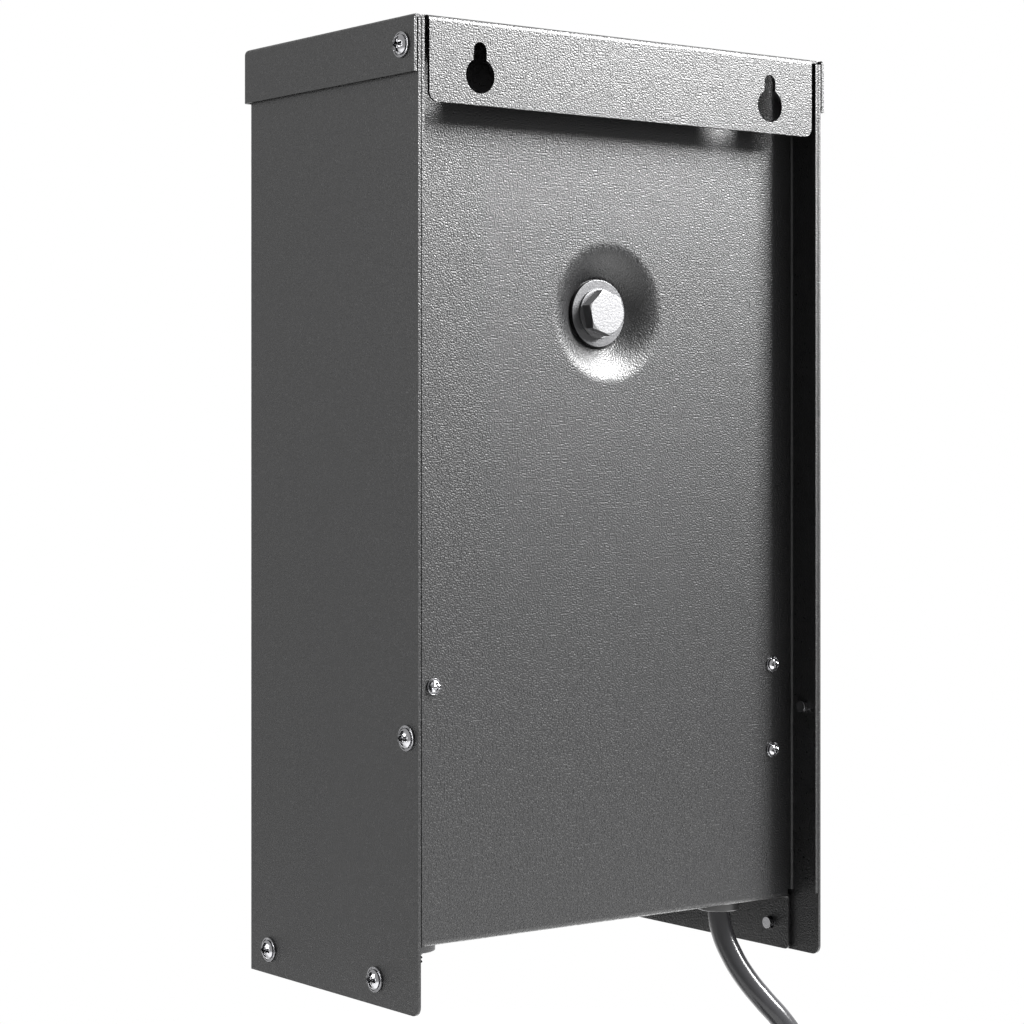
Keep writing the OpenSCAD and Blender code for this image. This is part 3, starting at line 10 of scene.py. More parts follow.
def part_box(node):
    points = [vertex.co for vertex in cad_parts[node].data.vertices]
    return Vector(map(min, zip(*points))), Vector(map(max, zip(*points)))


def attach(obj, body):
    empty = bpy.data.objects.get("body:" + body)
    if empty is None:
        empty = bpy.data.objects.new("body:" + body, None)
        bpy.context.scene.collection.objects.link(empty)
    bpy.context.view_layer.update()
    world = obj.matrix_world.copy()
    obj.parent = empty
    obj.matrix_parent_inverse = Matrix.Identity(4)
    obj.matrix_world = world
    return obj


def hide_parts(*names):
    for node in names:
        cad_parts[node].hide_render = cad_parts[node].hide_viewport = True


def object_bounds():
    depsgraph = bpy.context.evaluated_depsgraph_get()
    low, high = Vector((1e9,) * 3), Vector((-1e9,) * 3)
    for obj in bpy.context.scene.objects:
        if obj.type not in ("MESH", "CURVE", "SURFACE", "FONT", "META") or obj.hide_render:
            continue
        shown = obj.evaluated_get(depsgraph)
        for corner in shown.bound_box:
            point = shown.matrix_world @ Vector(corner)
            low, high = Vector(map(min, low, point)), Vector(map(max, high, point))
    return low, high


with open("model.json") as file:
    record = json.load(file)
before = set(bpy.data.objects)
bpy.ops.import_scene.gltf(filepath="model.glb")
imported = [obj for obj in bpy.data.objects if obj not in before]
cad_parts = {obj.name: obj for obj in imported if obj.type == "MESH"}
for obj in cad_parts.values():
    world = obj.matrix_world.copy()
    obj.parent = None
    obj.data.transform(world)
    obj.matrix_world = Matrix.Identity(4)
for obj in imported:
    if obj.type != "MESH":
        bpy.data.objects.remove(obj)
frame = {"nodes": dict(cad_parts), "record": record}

bl_info = {
    "name": "Landscape transformer",
    "version": (1, 0, 0),
    "blender": (4, 5, 0),
    "location": "3D View > Sidebar > Transformer",
    "description": "Finishes a wall-hung transformer: coated case, door, controls and cord",
    "category": "Object",
}

# Places that the frame gives, in metres

CAD_BOX = [list(corner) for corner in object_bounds()]


def corners(node):
    """Lowest and highest corner of a CAD node at rest"""
    low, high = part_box(node)
    return Vector(low), Vector(high)


def middle(node):
    low, high = corners(node)
    return (low + high) / 2


CASE_LOW = corners("outer_wrap")[0]
GLAND_HIGH = corners("strain_relief")[1]
TAPE_LOW, TAPE_HIGH = corners("outer_tape")
CLAMP_LOW, CLAMP_HIGH = corners("terminal_clamps")
BLOCK_HIGH = corners("terminal_block")[1]
DISPLAY_LOW = corners("timer_display")[0]
# The strain relief's axis at the skirt's lower edge, and where the leads come out of the cord
GLAND = Vector((middle("strain_relief").x, middle("strain_relief").y, CASE_LOW.z))
CORD_END = Vector((GLAND.x, GLAND.y, GLAND_HIGH.z))
LUG = Vector((
    middle("ground_screw").x, middle("ground_screw").y, corners("ground_lug")[1].z))
TOROID = middle("outer_tape")
TOROID_RADIUS = (TAPE_HIGH.x - TAPE_LOW.x) / 2

# The photograph's view: the camera's place and aim, its lens and film in millimetres, and the shift
# of its frame as a share of the frame's width
CAMERA_PLACE = Vector((0.54274, 0.65359, -0.11239))
CAMERA_AIM = Vector((-0.604, -0.797, 0))
CAMERA_LENS = 94.14
CAMERA_FILM = 36
CAMERA_SHIFT = -0.06435
# Places, aims and sizes of the lamps
STAGE_MIDDLE = Vector((0, -0.05, -0.13))
KEY_PLACE = Vector((-0.804, 0.675, 0.77))
KEY_AIM = Vector((0, 0, 0.268))
KEY_SIZE = (0.4, 1.0)
SIDE_PLACE = Vector((1.3, -0.3, 0.1))
SIDE_SIZE = (0.6, 0.9)
# The floor's radius and its drop below the object
FLOOR_RADIUS = 1.1
FLOOR_DROP = 0.002

# Routes in millimetres, as the model's own source has them: the cord from the strain relief's axis
# and the skirt's lower edge, the leads from where each begins and ends
RUN_ROUTE = [
    (0, 0, 31.8), (0, 0, 23), (0, 0.1, 14.5), (-0.6, 1.4, 6.5), (-2, 4.6, -1), (-4.3, 9.2, -8.5),
    (-8, 13.8, -15.5), (-12.6, 17.3, -22), (-16.9, 19.6, -29), (-20.1, 20.7, -37),
    (-21.4, 20.9, -46), (-21.5, 20.9, -56), (-21.5, 20.9, -71),
]
TAIL_ROUTE = [
    (-21.5, 12.7, -111), (-21.5, 12.6, -120), (-20.7, 12.2, -131), (-19.3, 11.8, -142),
    (-18.5, 11.5, -154), (-18.5, 11.5, -166),
]
COIL_START = Vector((-21.5, 20.9, -95))
COIL_TURNS = 5
COIL_RADIUS = 51
COIL_PITCH = 8.2
COIL_LEAD = 8
RINGS_PER_TURN = 24
BLACK_START = [
    (1.5, 0.5, 1.9), (1.5, 0.5, 8.7), (4, -0.5, 16.7), (12, -3.5, 23.2), (24, -6.5, 25.7),
]
BLACK_END = [
    (-62.8, -9, 0.7), (-28.8, -8, 2.7), (-12.8, -5, 7.2), (-4.8, -2, 10.3), (-1, -0.3, 9.3),
    (0, 0, 5.3), (0, 0, 0.3),
]
WHITE_START = [(-1.5, 0.5, 1.9), (-1.5, 0.5, 16.7), (-1.5, -1.5, 42.7), (-1, -2.5, 82.7)]
WHITE_END = [(-17.8, 6, -30.8), (-11.8, 4, -15.8), (-4.9, 0.6, -6.1), (0, 0, 0)]
GREEN_START = [(0, -2.5, 1.9), (0, -2.9, 5.7), (0.4, -4.5, 8.9), (1.2, -7.5, 10.1)]
GREEN_END = [
    (-17.8, 6.6, 18.9), (-17, 4, 14.9), (-16, 2, 9.4), (-14.5, 0.6, 4.3), (-12, 0, 1.7),
    (-8, 0, 1.5),
]
LOAD_START = [
    (0, 0, 0.3), (0, 0, 5.3), (-1.2, -0.3, 11.2), (-4.8, -1.5, 18.2), (-9.3, -3, 27.7),
    (-13.3, -4.5, 46.7),
]
LOAD_END = [(21.3, 4, -34.8), (12.8, 2, -17.3), (4.3, 0.4, -6.3), (0, 0, 0)]
# Where the supply leads reach the toroid: angle from its lowest point, depth on it and gap
LEAD_ANGLE = math.radians(38.7)
LEAD_IN = 0.017
LEAD_GAP = 0.0004
# Spread of the breaker's blades
BLADE_SPREAD = 0.01
# The leads' radius, segments of their section and steps between their points, and the cord's steps
LEAD_RADIUS = 0.0013
LEAD_SEGMENTS = 4
LEAD_STEPS = 6
CORD_STEPS = 4
# The terminals, and the secondary leads that come down to them
POLES = 3
POLE_PITCH = 0.01933
SECONDARY_RADIUS = 0.0017
LEAD_BEND = 0.005
LEAD_DROP = 0.008
LEAD_SLOT = 0.0031
PASS_GAP = 0.0003
CLAMP_SCREW_HALF = 0.0011
# The toroid's hole, the rounding of its section and the depths at which its layers begin and end
TOROID_HOLE = 0.0215
TOROID_ROUND = 0.009
LAYERS = {
    "outer_tape": (0.0, 0.0006), "secondary_winding": (0.0007, 0.0037),
    "primary_winding": (0.0038, 0.0088),
}
# Inner radius of each pad, pitch and half height of its ribs, and rounding of its edges
PAD_HOLES = {"rear_pad": 0.024, "front_pad": 0.0216}
RIB_PITCH = 0.0016
RIB_HALF = 0.00012
PAD_ROUND = 0.0006
# Share of a lap of tape over which its edge rises
TAPE_STEP = 0.17
# The gasket: width of its strip, radius of the frame's corners and rounding of the foam
GASKET_WIDTH = 0.0046
GASKET_CORNER = 0.0018
GASKET_ROUND = 0.0011
# The screws: rounding of their edges, depth of the cross recess, radius of the groove round the
# dome and depth at which it begins
SCREWS = {
    "case_screws": (0.00012, 0.0016, 0.0033, 0.0018),
    "panel_screws": (0.0001, 0.001, 0.0022, 0.0015),
    "block_screws": (0.0001, 0.001, 0.0022, 0.0015),
}
# How far from these a face may lie and still belong to groove, wall, floor or tip, the recess's
# radius as a share of the head's width, and the width of the ring of painted shade round the tip
GROOVE_HALF = 0.0003
GROOVE_SLACK = 0.00003
WALL_SLACK = 0.0001
FLOOR_SLACK = 0.0002
TIP_SLACK = 0.0003
RECESS_SHARE = 0.3
TIP_SHADE_RING = 0.0006
# The time on the display: size of its digits, their stroke, pitch and height above the glass, the
# gap between strokes, and the strokes of each digit
DIGIT_WIDTH = 0.0042
DIGIT_HEIGHT = 0.0092
DIGIT_STROKE = 0.0011
DIGIT_PITCH = 0.0066
DIGIT_RISE = 0.00006
STROKE_GAP = 0.0002
SHOWN = "18:30"
STROKES = {
    "top": (0, 1), "middle": (0, 0), "bottom": (0, -1), "upper left": (-1, 0.5),
    "upper right": (1, 0.5), "lower left": (-1, -0.5), "lower right": (1, -0.5),
}
LEFT_OUT = {
    "1": ("top", "middle", "bottom", "upper left", "lower left"), "8": (),
    "3": ("upper left", "lower left"), "0": ("middle",),
}
# The coat: height of its grains and its specular level
COAT_DEPTH = 0.00014
COAT_SHEEN = 0.3
# Metals: colour, roughness, then size of grain and its height where they differ from the usual
METALS = {
    "bright zinc": ((0.55, 0.56, 0.57), 0.3, 0.0006, 0.00001),
    "bolt zinc": ((0.135, 0.135, 0.138), 0.42, 0.0007, 0.00006),
    "tumbled zinc": ((0.07, 0.07, 0.072), 0.42, 0.0006, 0.00006),
    "dull zinc": ((0.3, 0.3, 0.31), 0.13, 0.0012, 0.00009),
    # Painted shade: a dark zinc laid on the screws' recesses, grooves and a ring round their tips,
    # where shade falls
    "recess painted shade": ((0.05, 0.05, 0.052), 0.4),
    "green zinc": ((0.1, 0.42, 0.16), 0.3),
    "enamelled copper": ((0.55, 0.23, 0.1), 0.3),
    "strip steel": ((0.3, 0.31, 0.33), 0.45),
    "plain brass": ((0.66, 0.46, 0.18), 0.3),
    "plug brass": ((0.7, 0.64, 0.5), 0.22),
}
# Plastics, rubbers and sleeves, in the same order
PLASTICS = {
    "gasket foam": ((0.02, 0.02, 0.02), 0.85, 0.0012, 0.0002),
    "pad rubber": ((0.015, 0.015, 0.015), 0.75, 0.001, 0.0001),
    "polyester tape": ((0.55, 0.38, 0.05), 0.25, 0.004, 0.0001),
    "knob nylon": ((0.012, 0.012, 0.013), 0.42),
    "timer plastic": ((0.02, 0.021, 0.024), 0.5),
    "display glass": ((0.3, 0.36, 0.25), 0.35),
    "display ink": ((0.02, 0.022, 0.02), 0.5),
    "board green": ((0.015, 0.12, 0.05), 0.4),
    "relay plastic": ((0.02, 0.08, 0.35), 0.3),
    "button rubber": ((0.45, 0.46, 0.47), 0.55),
    "orange rubber": ((0.65, 0.19, 0.02), 0.5),
    "terminal plastic": ((0.014, 0.014, 0.015), 0.5),
    "breaker plastic": ((0.012, 0.012, 0.013), 0.35),
    "reset red": ((0.5, 0.02, 0.015), 0.3),
    "gland nylon": ((0.01, 0.01, 0.01), 0.38),
    "tie nylon": ((0.02, 0.02, 0.02), 0.4),
    "plug vinyl": ((0.012, 0.012, 0.013), 0.4),
    "black lead sleeve": ((0.012, 0.012, 0.013), 0.35),
    "white lead sleeve": ((0.7, 0.7, 0.68), 0.35),
    "green lead sleeve": ((0.02, 0.25, 0.06), 0.35),
    "load lead sleeve": ((0.02, 0.02, 0.022), 0.35),
    "clear sleeve": ((0.5, 0.3, 0.18), 0.3),
}
# The cord's jacket: roughness, size of grain and its height, spread of roughness, specular level
JACKET = (0.2, 0.0015, 0.00003, 0.1, 0.22)
COAT = "black powder coat"
# Nodes that keep their shape: rounding of their edges, its segments, their finish, and the least
# angle of an edge that is rounded where it differs from the usual
ROUNDED = {
    "door_hinge_leaves": (0.00015, 2, COAT), "frame_hinge_leaves": (0.00015, 2, COAT),
    "hinge_pins": (0.0003, 2, "dull zinc"), "hinge_rivets": (0.0002, 2, COAT),
    "latch_housing": (0.0004, 3, "bright zinc"), "latch_nut": (0.0002, 2, "bright zinc"),
    "latch_knob": (0.0005, 3, "knob nylon"), "latch_cam": (0.0002, 2, "bright zinc"),
    "latch_screw": (0.0002, 2, "bright zinc"),
    "centre_bolt": (0.00025, 2, "bolt zinc"), "bolt_washers": (0.0002, 2, "tumbled zinc"),
    "clamp_nut": (0.0003, 2, "bright zinc"), "clamp_plate": (0.0003, 2, "bright zinc"),
    "ground_screw": (0.00014, 2, "green zinc"), "ground_lug": (0.00012, 1, "bright zinc"),
    "control_panel": (0.0002, 2, "brushed aluminium"),
    "timer_front": (0.0006, 3, "timer plastic"), "timer_back": (0.0004, 2, "timer plastic"),
    "timer_relay": (0.0004, 2, "relay plastic"), "timer_battery": (0.0004, 2, "bright zinc"),
    "button_switches": (0.0002, 1, "dull zinc"), "set_button": (0.0006, 3, "button rubber"),
    "up_button": (0.0006, 3, "button rubber"), "down_button": (0.0006, 3, "button rubber"),
    "mode_button": (0.0006, 3, "orange rubber"),
    "terminal_block": (0.0003, 2, "terminal plastic"),
    "terminal_clamps": (0.0002, 2, "plain brass"), "terminal_screws": (0.0003, 2, "bright zinc"),
    "breaker_body": (0.0003, 2, "breaker plastic", 50),
    "breaker_nut": (0.0002, 2, "breaker plastic", 50),
    "breaker_button": (0.0003, 2, "reset red"), "breaker_blades": (0.0002, 1, "bright zinc"),
    "strain_relief": (0.0005, 3, "gland nylon"), "cable_grommet": (0.0005, 3, "pad rubber"),
    "cord_ties": (0.0002, 2, "tie nylon"), "plug_body": (0.0012, 3, "plug vinyl"),
    "plug_blades": (0.0003, 2, "plug brass"), "plug_ground_pin": (0.0008, 3, "plug brass"),
}


def offsets(points, origin):
    """Places in metres, given in millimetres from an origin"""
    return [origin + Vector(point) / 1000 for point in points]


def toroid_end(side):
    """Where a supply lead ends under the toroid, on one side"""
    reach = TOROID_RADIUS + LEAD_GAP
    return Vector((
        TOROID.x + side * reach * math.sin(LEAD_ANGLE), TAPE_HIGH.y - LEAD_IN,
        TOROID.z - reach * math.cos(LEAD_ANGLE)))


def blade_end(side):
    """The top of one of the breaker's blades"""
    centre = middle("breaker_blades")
    return Vector((
        centre.x + side * BLADE_SPREAD / 2, centre.y, corners("breaker_blades")[1].z))


def secondary_route(pole):
    """The lead to one terminal: down behind the timer, forward through the slot and down"""
    x = middle("terminal_block").x + (pole - (POLES - 1) / 2) * POLE_PITCH
    back = TAPE_HIGH.y - TOROID_ROUND - SECONDARY_RADIUS - PASS_GAP
    aside = max(abs(x - TOROID.x) - SECONDARY_RADIUS, 0)
    top = TOROID.z - math.sqrt(TOROID_RADIUS ** 2 - aside ** 2)
    slot = BLOCK_HIGH.z + LEAD_SLOT
    front = CLAMP_LOW.y - CLAMP_SCREW_HALF
    return [
        Vector((x, back, top - PASS_GAP)), Vector((x, back, top - LEAD_DROP)),
        Vector((x, back, slot + 2 * LEAD_BEND)),
        Vector((x, back - LEAD_BEND / 2, slot + LEAD_BEND)),
        Vector((x, back - 2 * LEAD_BEND, slot)), Vector((x, front + LEAD_BEND, slot)),
        Vector((x, front + LEAD_BEND / 4, slot - LEAD_BEND / 4)),
        Vector((x, front, slot - LEAD_BEND)),
        Vector((x, front, CLAMP_HIGH.z + PASS_GAP)),
    ]


def coil_route():
    """The coil's points: it spirals in, climbs a layer and spirals out again"""
    half = COIL_TURNS / 2
    points = [COIL_START + Vector((0, 0, COIL_LEAD))]
    for k in range(COIL_TURNS * RINGS_PER_TURN + 1):
        turns = k / RINGS_PER_TURN
        radius = COIL_RADIUS - COIL_PITCH * (half - abs(turns - half))
        climb = min(max(2 * (turns - half) + 0.5, 0), 1)
        angle = math.tau * turns
        points.append(COIL_START + Vector((
            COIL_RADIUS - radius * math.cos(angle), -COIL_PITCH * climb,
            -radius * math.sin(angle))))
    points.append(points[-1] - Vector((0, 0, COIL_LEAD)))
    return points


# Settings


class CoatSettings(bpy.types.PropertyGroup):
    """Colour and grain of the powder coat"""

    colour: FloatVectorProperty(
        name="Coat colour", description="Colour of the powder coat", subtype="COLOR",
        size=3, min=0, max=1, default=(0.002, 0.002, 0.0022))
    fleck: FloatVectorProperty(
        name="Fleck colour", description="Colour of the bright flecks in the coat", subtype="COLOR",
        size=3, min=0, max=1, default=(0.015, 0.015, 0.016))
    roughness: FloatProperty(
        name="Coat roughness", description="How dull the coat is", min=0, max=1, default=0.42)
    grain: FloatProperty(
        name="Grain size", description="Size of the coat's grains", subtype="DISTANCE",
        unit="LENGTH", min=0.0001, max=0.003, default=0.0005)
    edge: FloatProperty(
        name="Edge radius", description="Rounding of the cut edges of the sheets",
        subtype="DISTANCE", unit="LENGTH", min=0.00005, max=0.0005, default=0.00022)


class CordSettings(bpy.types.PropertyGroup):
    """Size and colour of the supply cord"""

    diameter: FloatProperty(
        name="Cord diameter", description="Outer diameter of the cord's jacket", subtype="DISTANCE",
        unit="LENGTH", min=0.006, max=0.009, default=0.0076)
    colour: FloatVectorProperty(
        name="Jacket colour", description="Colour of the cord's jacket", subtype="COLOR",
        size=3, min=0, max=1, default=(0.012, 0.012, 0.013))
    segments: IntProperty(
        name="Jacket segments", description="Steps of the jacket's round section", min=3, max=12,
        default=6)


class StageSettings(bpy.types.PropertyGroup):
    """Lamps, background and floor"""

    key: FloatProperty(
        name="Key lamp", description="Power of the lamp at the upper right", unit="POWER",
        min=0, max=400, default=215)
    side: FloatProperty(
        name="Side lamp", description="Power of the lamp at the left", unit="POWER",
        min=0, max=200, default=28)
    sky: FloatProperty(
        name="Surrounding light", description="Strength of the light from all round",
        min=0, max=2, default=0.45)
    floor: FloatVectorProperty(
        name="Floor colour", description="Colour of the floor", subtype="COLOR",
        size=3, min=0, max=1, default=(0.68, 0.68, 0.68))


def settings():
    return bpy.context.scene.transformer


class TransformerSettings(bpy.types.PropertyGroup):
    """All the sizes and colours of the transformer"""

    coat: PointerProperty(type=CoatSettings)
    cord: PointerProperty(type=CordSettings)
    stage: PointerProperty(type=StageSettings)


# Node groups


def new_group(name, inputs, outputs):
    group = bpy.data.node_groups.new(name, "ShaderNodeTree")
    for kind, label, default in inputs:
        socket = group.interface.new_socket(name=label, in_out="INPUT", socket_type=kind)
        if default is not None:
            socket.default_value = default
    for kind, label in outputs:
        group.interface.new_socket(name=label, in_out="OUTPUT", socket_type=kind)
    start = group.nodes.new("NodeGroupInput")
    end = group.nodes.new("NodeGroupOutput")
    return group, start, end


def grain_group():
    """Grains and flecks of a textured coat, as a height, a fleck mask and a roughness"""
    name = "coat grain"
    if name in bpy.data.node_groups:
        return bpy.data.node_groups[name]
    group, start, end = new_group(
        name,
        [("NodeSocketVector", "Vector", None), ("NodeSocketFloat", "Grains per metre", 1400.0),
         ("NodeSocketFloat", "Roughness", 0.4), ("NodeSocketFloat", "Roughness spread", 0.12),
         ("NodeSocketFloat", "Fleck share", 0.2), ("NodeSocketFloat", "Detail", 2.5)],
        [("NodeSocketFloat", "Height"), ("NodeSocketFloat", "Fleck"),
         ("NodeSocketFloat", "Roughness"), ("NodeSocketFloat", "Cloud")])
    nodes, links = group.nodes, group.links
    grain = nodes.new("ShaderNodeTexNoise")
    links.new(start.outputs["Detail"], grain.inputs["Detail"])
    grain.inputs["Roughness"].default_value = 0.62
    links.new(start.outputs["Vector"], grain.inputs["Vector"])
    links.new(start.outputs["Grains per metre"], grain.inputs["Scale"])
    finer = nodes.new("ShaderNodeMath")
    finer.operation = "MULTIPLY"
    finer.inputs[1].default_value = 1.9
    links.new(start.outputs["Grains per metre"], finer.inputs[0])
    speck = nodes.new("ShaderNodeTexNoise")
    speck.inputs["Detail"].default_value = 1.0
    links.new(start.outputs["Vector"], speck.inputs["Vector"])
    links.new(finer.outputs[0], speck.inputs["Scale"])
    limit = nodes.new("ShaderNodeMath")
    limit.operation = "SUBTRACT"
    limit.inputs[0].default_value = 0.8
    links.new(start.outputs["Fleck share"], limit.inputs[1])
    mask = nodes.new("ShaderNodeMapRange")
    mask.inputs["To Min"].default_value = 0.0
    mask.inputs["To Max"].default_value = 1.0
    mask.inputs["From Max"].default_value = 0.82
    links.new(speck.outputs["Fac"], mask.inputs["Value"])
    links.new(limit.outputs[0], mask.inputs["From Min"])
    cloud = nodes.new("ShaderNodeTexNoise")
    cloud.inputs["Scale"].default_value = 22.0
    cloud.inputs["Detail"].default_value = 3.0
    links.new(start.outputs["Vector"], cloud.inputs["Vector"])
    centred = nodes.new("ShaderNodeMath")
    centred.operation = "SUBTRACT"
    centred.inputs[1].default_value = 0.5
    links.new(grain.outputs["Fac"], centred.inputs[0])
    spread = nodes.new("ShaderNodeMath")
    spread.operation = "MULTIPLY_ADD"
    links.new(centred.outputs[0], spread.inputs[0])
    links.new(start.outputs["Roughness spread"], spread.inputs[1])
    links.new(start.outputs["Roughness"], spread.inputs[2])
    links.new(grain.outputs["Fac"], end.inputs["Height"])
    links.new(mask.outputs["Result"], end.inputs["Fleck"])
    links.new(spread.outputs[0], end.inputs["Roughness"])
    links.new(cloud.outputs["Fac"], end.inputs["Cloud"])
    return group


def lines_group():
    """Fine parallel lines of a brushed or drawn surface, or of a thread, as a height and a mask"""
    name = "fine lines"
    if name in bpy.data.node_groups:
        return bpy.data.node_groups[name]
    group, start, end = new_group(
        name,
        [("NodeSocketVector", "Vector", None), ("NodeSocketVector", "Stretch", (1.0, 1.0, 1.0)),
         ("NodeSocketFloat", "Lines per metre", 900.0)],
        [("NodeSocketFloat", "Height"), ("NodeSocketFloat", "Mask")])
    nodes, links = group.nodes, group.links
    stretch = nodes.new("ShaderNodeVectorMath")
    stretch.operation = "MULTIPLY"
    links.new(start.outputs["Vector"], stretch.inputs[0])
    links.new(start.outputs["Stretch"], stretch.inputs[1])
    noise = nodes.new("ShaderNodeTexNoise")
    noise.inputs["Detail"].default_value = 3.0
    links.new(stretch.outputs["Vector"], noise.inputs["Vector"])
    links.new(start.outputs["Lines per metre"], noise.inputs["Scale"])
    mask = nodes.new("ShaderNodeMapRange")
    mask.inputs["From Min"].default_value = 0.35
    mask.inputs["From Max"].default_value = 0.65
    links.new(noise.outputs["Fac"], mask.inputs["Value"])
    links.new(noise.outputs["Fac"], end.inputs["Height"])
    links.new(mask.outputs["Result"], end.inputs["Mask"])
    return group


def new_material(name):
    material = bpy.data.materials.new(name)
    material.use_nodes = True
    nodes, links = material.node_tree.nodes, material.node_tree.links
    shader = nodes["Principled BSDF"]
    place = nodes.new("ShaderNodeTexCoord")
    return material, nodes, links, shader, place


def add_group(nodes, group):
    node = nodes.new("ShaderNodeGroup")
    node.node_tree = group
    return node


def bump_from(nodes, links, shader, height, distance):
    bump = nodes.new("ShaderNodeBump")
    bump.inputs["Distance"].default_value = distance
    bump.inputs["Strength"].default_value = 1.0
    links.new(height, bump.inputs["Height"])
    links.new(bump.outputs["Normal"], shader.inputs["Normal"])


def mixed(nodes, links, factor, first, second):
    mix = nodes.new("ShaderNodeMix")
    mix.data_type = "RGBA"
    mix.inputs["A"].default_value = (*first, 1)
    mix.inputs["B"].default_value = (*second, 1)
    links.new(factor, mix.inputs["Factor"])
    return mix.outputs["Result"]


def grained(name, colours, mask, roughness, spread, grain, depth):
    """A material with the grain group, whose colour lies between two by one of the group's masks"""
    material, nodes, links, shader, place = new_material(name)
    skin = add_group(nodes, grain_group())
    skin.inputs["Grains per metre"].default_value = 1 / grain
    skin.inputs["Roughness"].default_value = roughness
    skin.inputs["Roughness spread"].default_value = spread
    links.new(place.outputs["Object"], skin.inputs["Vector"])
    links.new(mixed(nodes, links, skin.outputs[mask], *colours), shader.inputs["Base Color"])
    links.new(skin.outputs["Roughness"], shader.inputs["Roughness"])
    bump_from(nodes, links, shader, skin.outputs["Height"], depth)
    return material, skin, shader


def powder_coat(name, looks):
    """The case's coat: plain round grains, with bright flecks among them"""
    material, skin, shader = grained(
        name, (looks.colour, looks.fleck), "Fleck", looks.roughness, 0.5, looks.grain, COAT_DEPTH)
    skin.inputs["Fleck share"].default_value = 0.1
    skin.inputs["Detail"].default_value = 0.0
    shader.inputs["Specular IOR Level"].default_value = COAT_SHEEN
    return material


def plated(name, colour, roughness, grain=0.0012, depth=0.00001):
    """Plated or drawn metal, a little darker in places"""
    darker = tuple(c * 0.72 for c in colour)
    material, skin, shader = grained(name, (darker, colour), "Cloud", roughness, 0.3, grain, depth)
    shader.inputs["Metallic"].default_value = 1.0
    return material


def brushed(name, colour, roughness, stretch):
    """Metal brushed one way"""
    material, nodes, links, shader, place = new_material(name)
    marks = add_group(nodes, lines_group())
    marks.inputs["Stretch"].default_value = stretch
    links.new(place.outputs["Object"], marks.inputs["Vector"])
    darker = tuple(c * 0.82 for c in colour)
    tone = mixed(nodes, links, marks.outputs["Mask"], darker, colour)
    links.new(tone, shader.inputs["Base Color"])
    bump_from(nodes, links, shader, marks.outputs["Height"], 0.00001)
    shader.inputs["Metallic"].default_value = 1.0
    shader.inputs["Roughness"].default_value = roughness
    return material


def moulded(name, colour, roughness, grain=0.0009, depth=0.00002, spread=0.15, sheen=0.5):
    """Moulded plastic, rubber or enamel, a little lighter in places"""
    lighter = tuple(min(1.0, c * 1.25 + 0.004) for c in colour)
    material, skin, shader = grained(
        name, (colour, lighter), "Cloud", roughness, spread, grain, depth)
    shader.inputs["Specular IOR Level"].default_value = sheen
    return material


def clear_lens(name):
    material, nodes, links, shader, place = new_material(name)
    shader.inputs["Base Color"].default_value = (0.92, 0.95, 0.95, 1)
    shader.inputs["Transmission Weight"].default_value = 1.0
    shader.inputs["Roughness"].default_value = 0.03
    shader.inputs["IOR"].default_value = 1.49
    return material


def make_finish(name):
    if name in METALS:
        return plated(name, *METALS[name])
    if name in PLASTICS:
        return moulded(name, *PLASTICS[name])
    if name == COAT:
        return powder_coat(name, settings().coat)
    if name == "cord jacket":
        return moulded(name, tuple(settings().cord.colour), *JACKET)
    if name == "brushed aluminium":
        return brushed(name, (0.62, 0.63, 0.64), 0.35, (0.03, 1.0, 1.0))
    if name == "clear lens":
        return clear_lens(name)
    raise ValueError(name)


def finish(name):
    """A material by name, made the first time that a piece asks for it"""
    return bpy.data.materials.get(name) or make_finish(name)


# Shaping


def rounded(node, width, segments, angle):
    """A copy of a CAD node's mesh with its edges rounded"""
    source = frame["nodes"][node]
    shape = bmesh.new()
    shape.from_mesh(source.data)
    bmesh.ops.remove_doubles(shape, verts=shape.verts, dist=1e-6)
    bmesh.ops.dissolve_limit(
        shape, angle_limit=math.radians(0.4), use_dissolve_boundaries=False,
        verts=shape.verts, edges=shape.edges, delimit=set())
    sharp = [e for e in shape.edges
             if e.is_manifold and e.calc_face_angle(0) > math.radians(angle)]
    bmesh.ops.bevel(
        shape, geom=sharp, offset=width, offset_type="OFFSET", segments=segments, profile=0.5,
        affect="EDGES", clamp_overlap=True, material=-1)
    bmesh.ops.remove_doubles(shape, verts=shape.verts, dist=1e-7)
    return shape


def softened(node, width, segments, look, angle=32):
    """A copy of a CAD node with its edges rounded, which stands for it"""
    shape = rounded(node, width, segments, angle)
    return placed(shape, node + "_finished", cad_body(node), [finish(look)], replaces=(node,))


def all_rounded(*nodes):
    return [softened(node, *ROUNDED[node]) for node in nodes]


def islands(shape):
    """The faces of each separate solid in a bmesh"""
    waiting = set(shape.faces)
    while waiting:
        group = {waiting.pop()}
        edge = list(group)
        while edge:
            near = {f for face in edge for side in face.edges for f in side.link_faces} - group
            group |= near
            edge = list(near)
        waiting -= group
        yield group


def flat_distance(place, centre, axis):
    """How far a place lies from an axis along X, Y or Z"""
    aside = place - centre
    aside[axis] = 0
    return aside.length


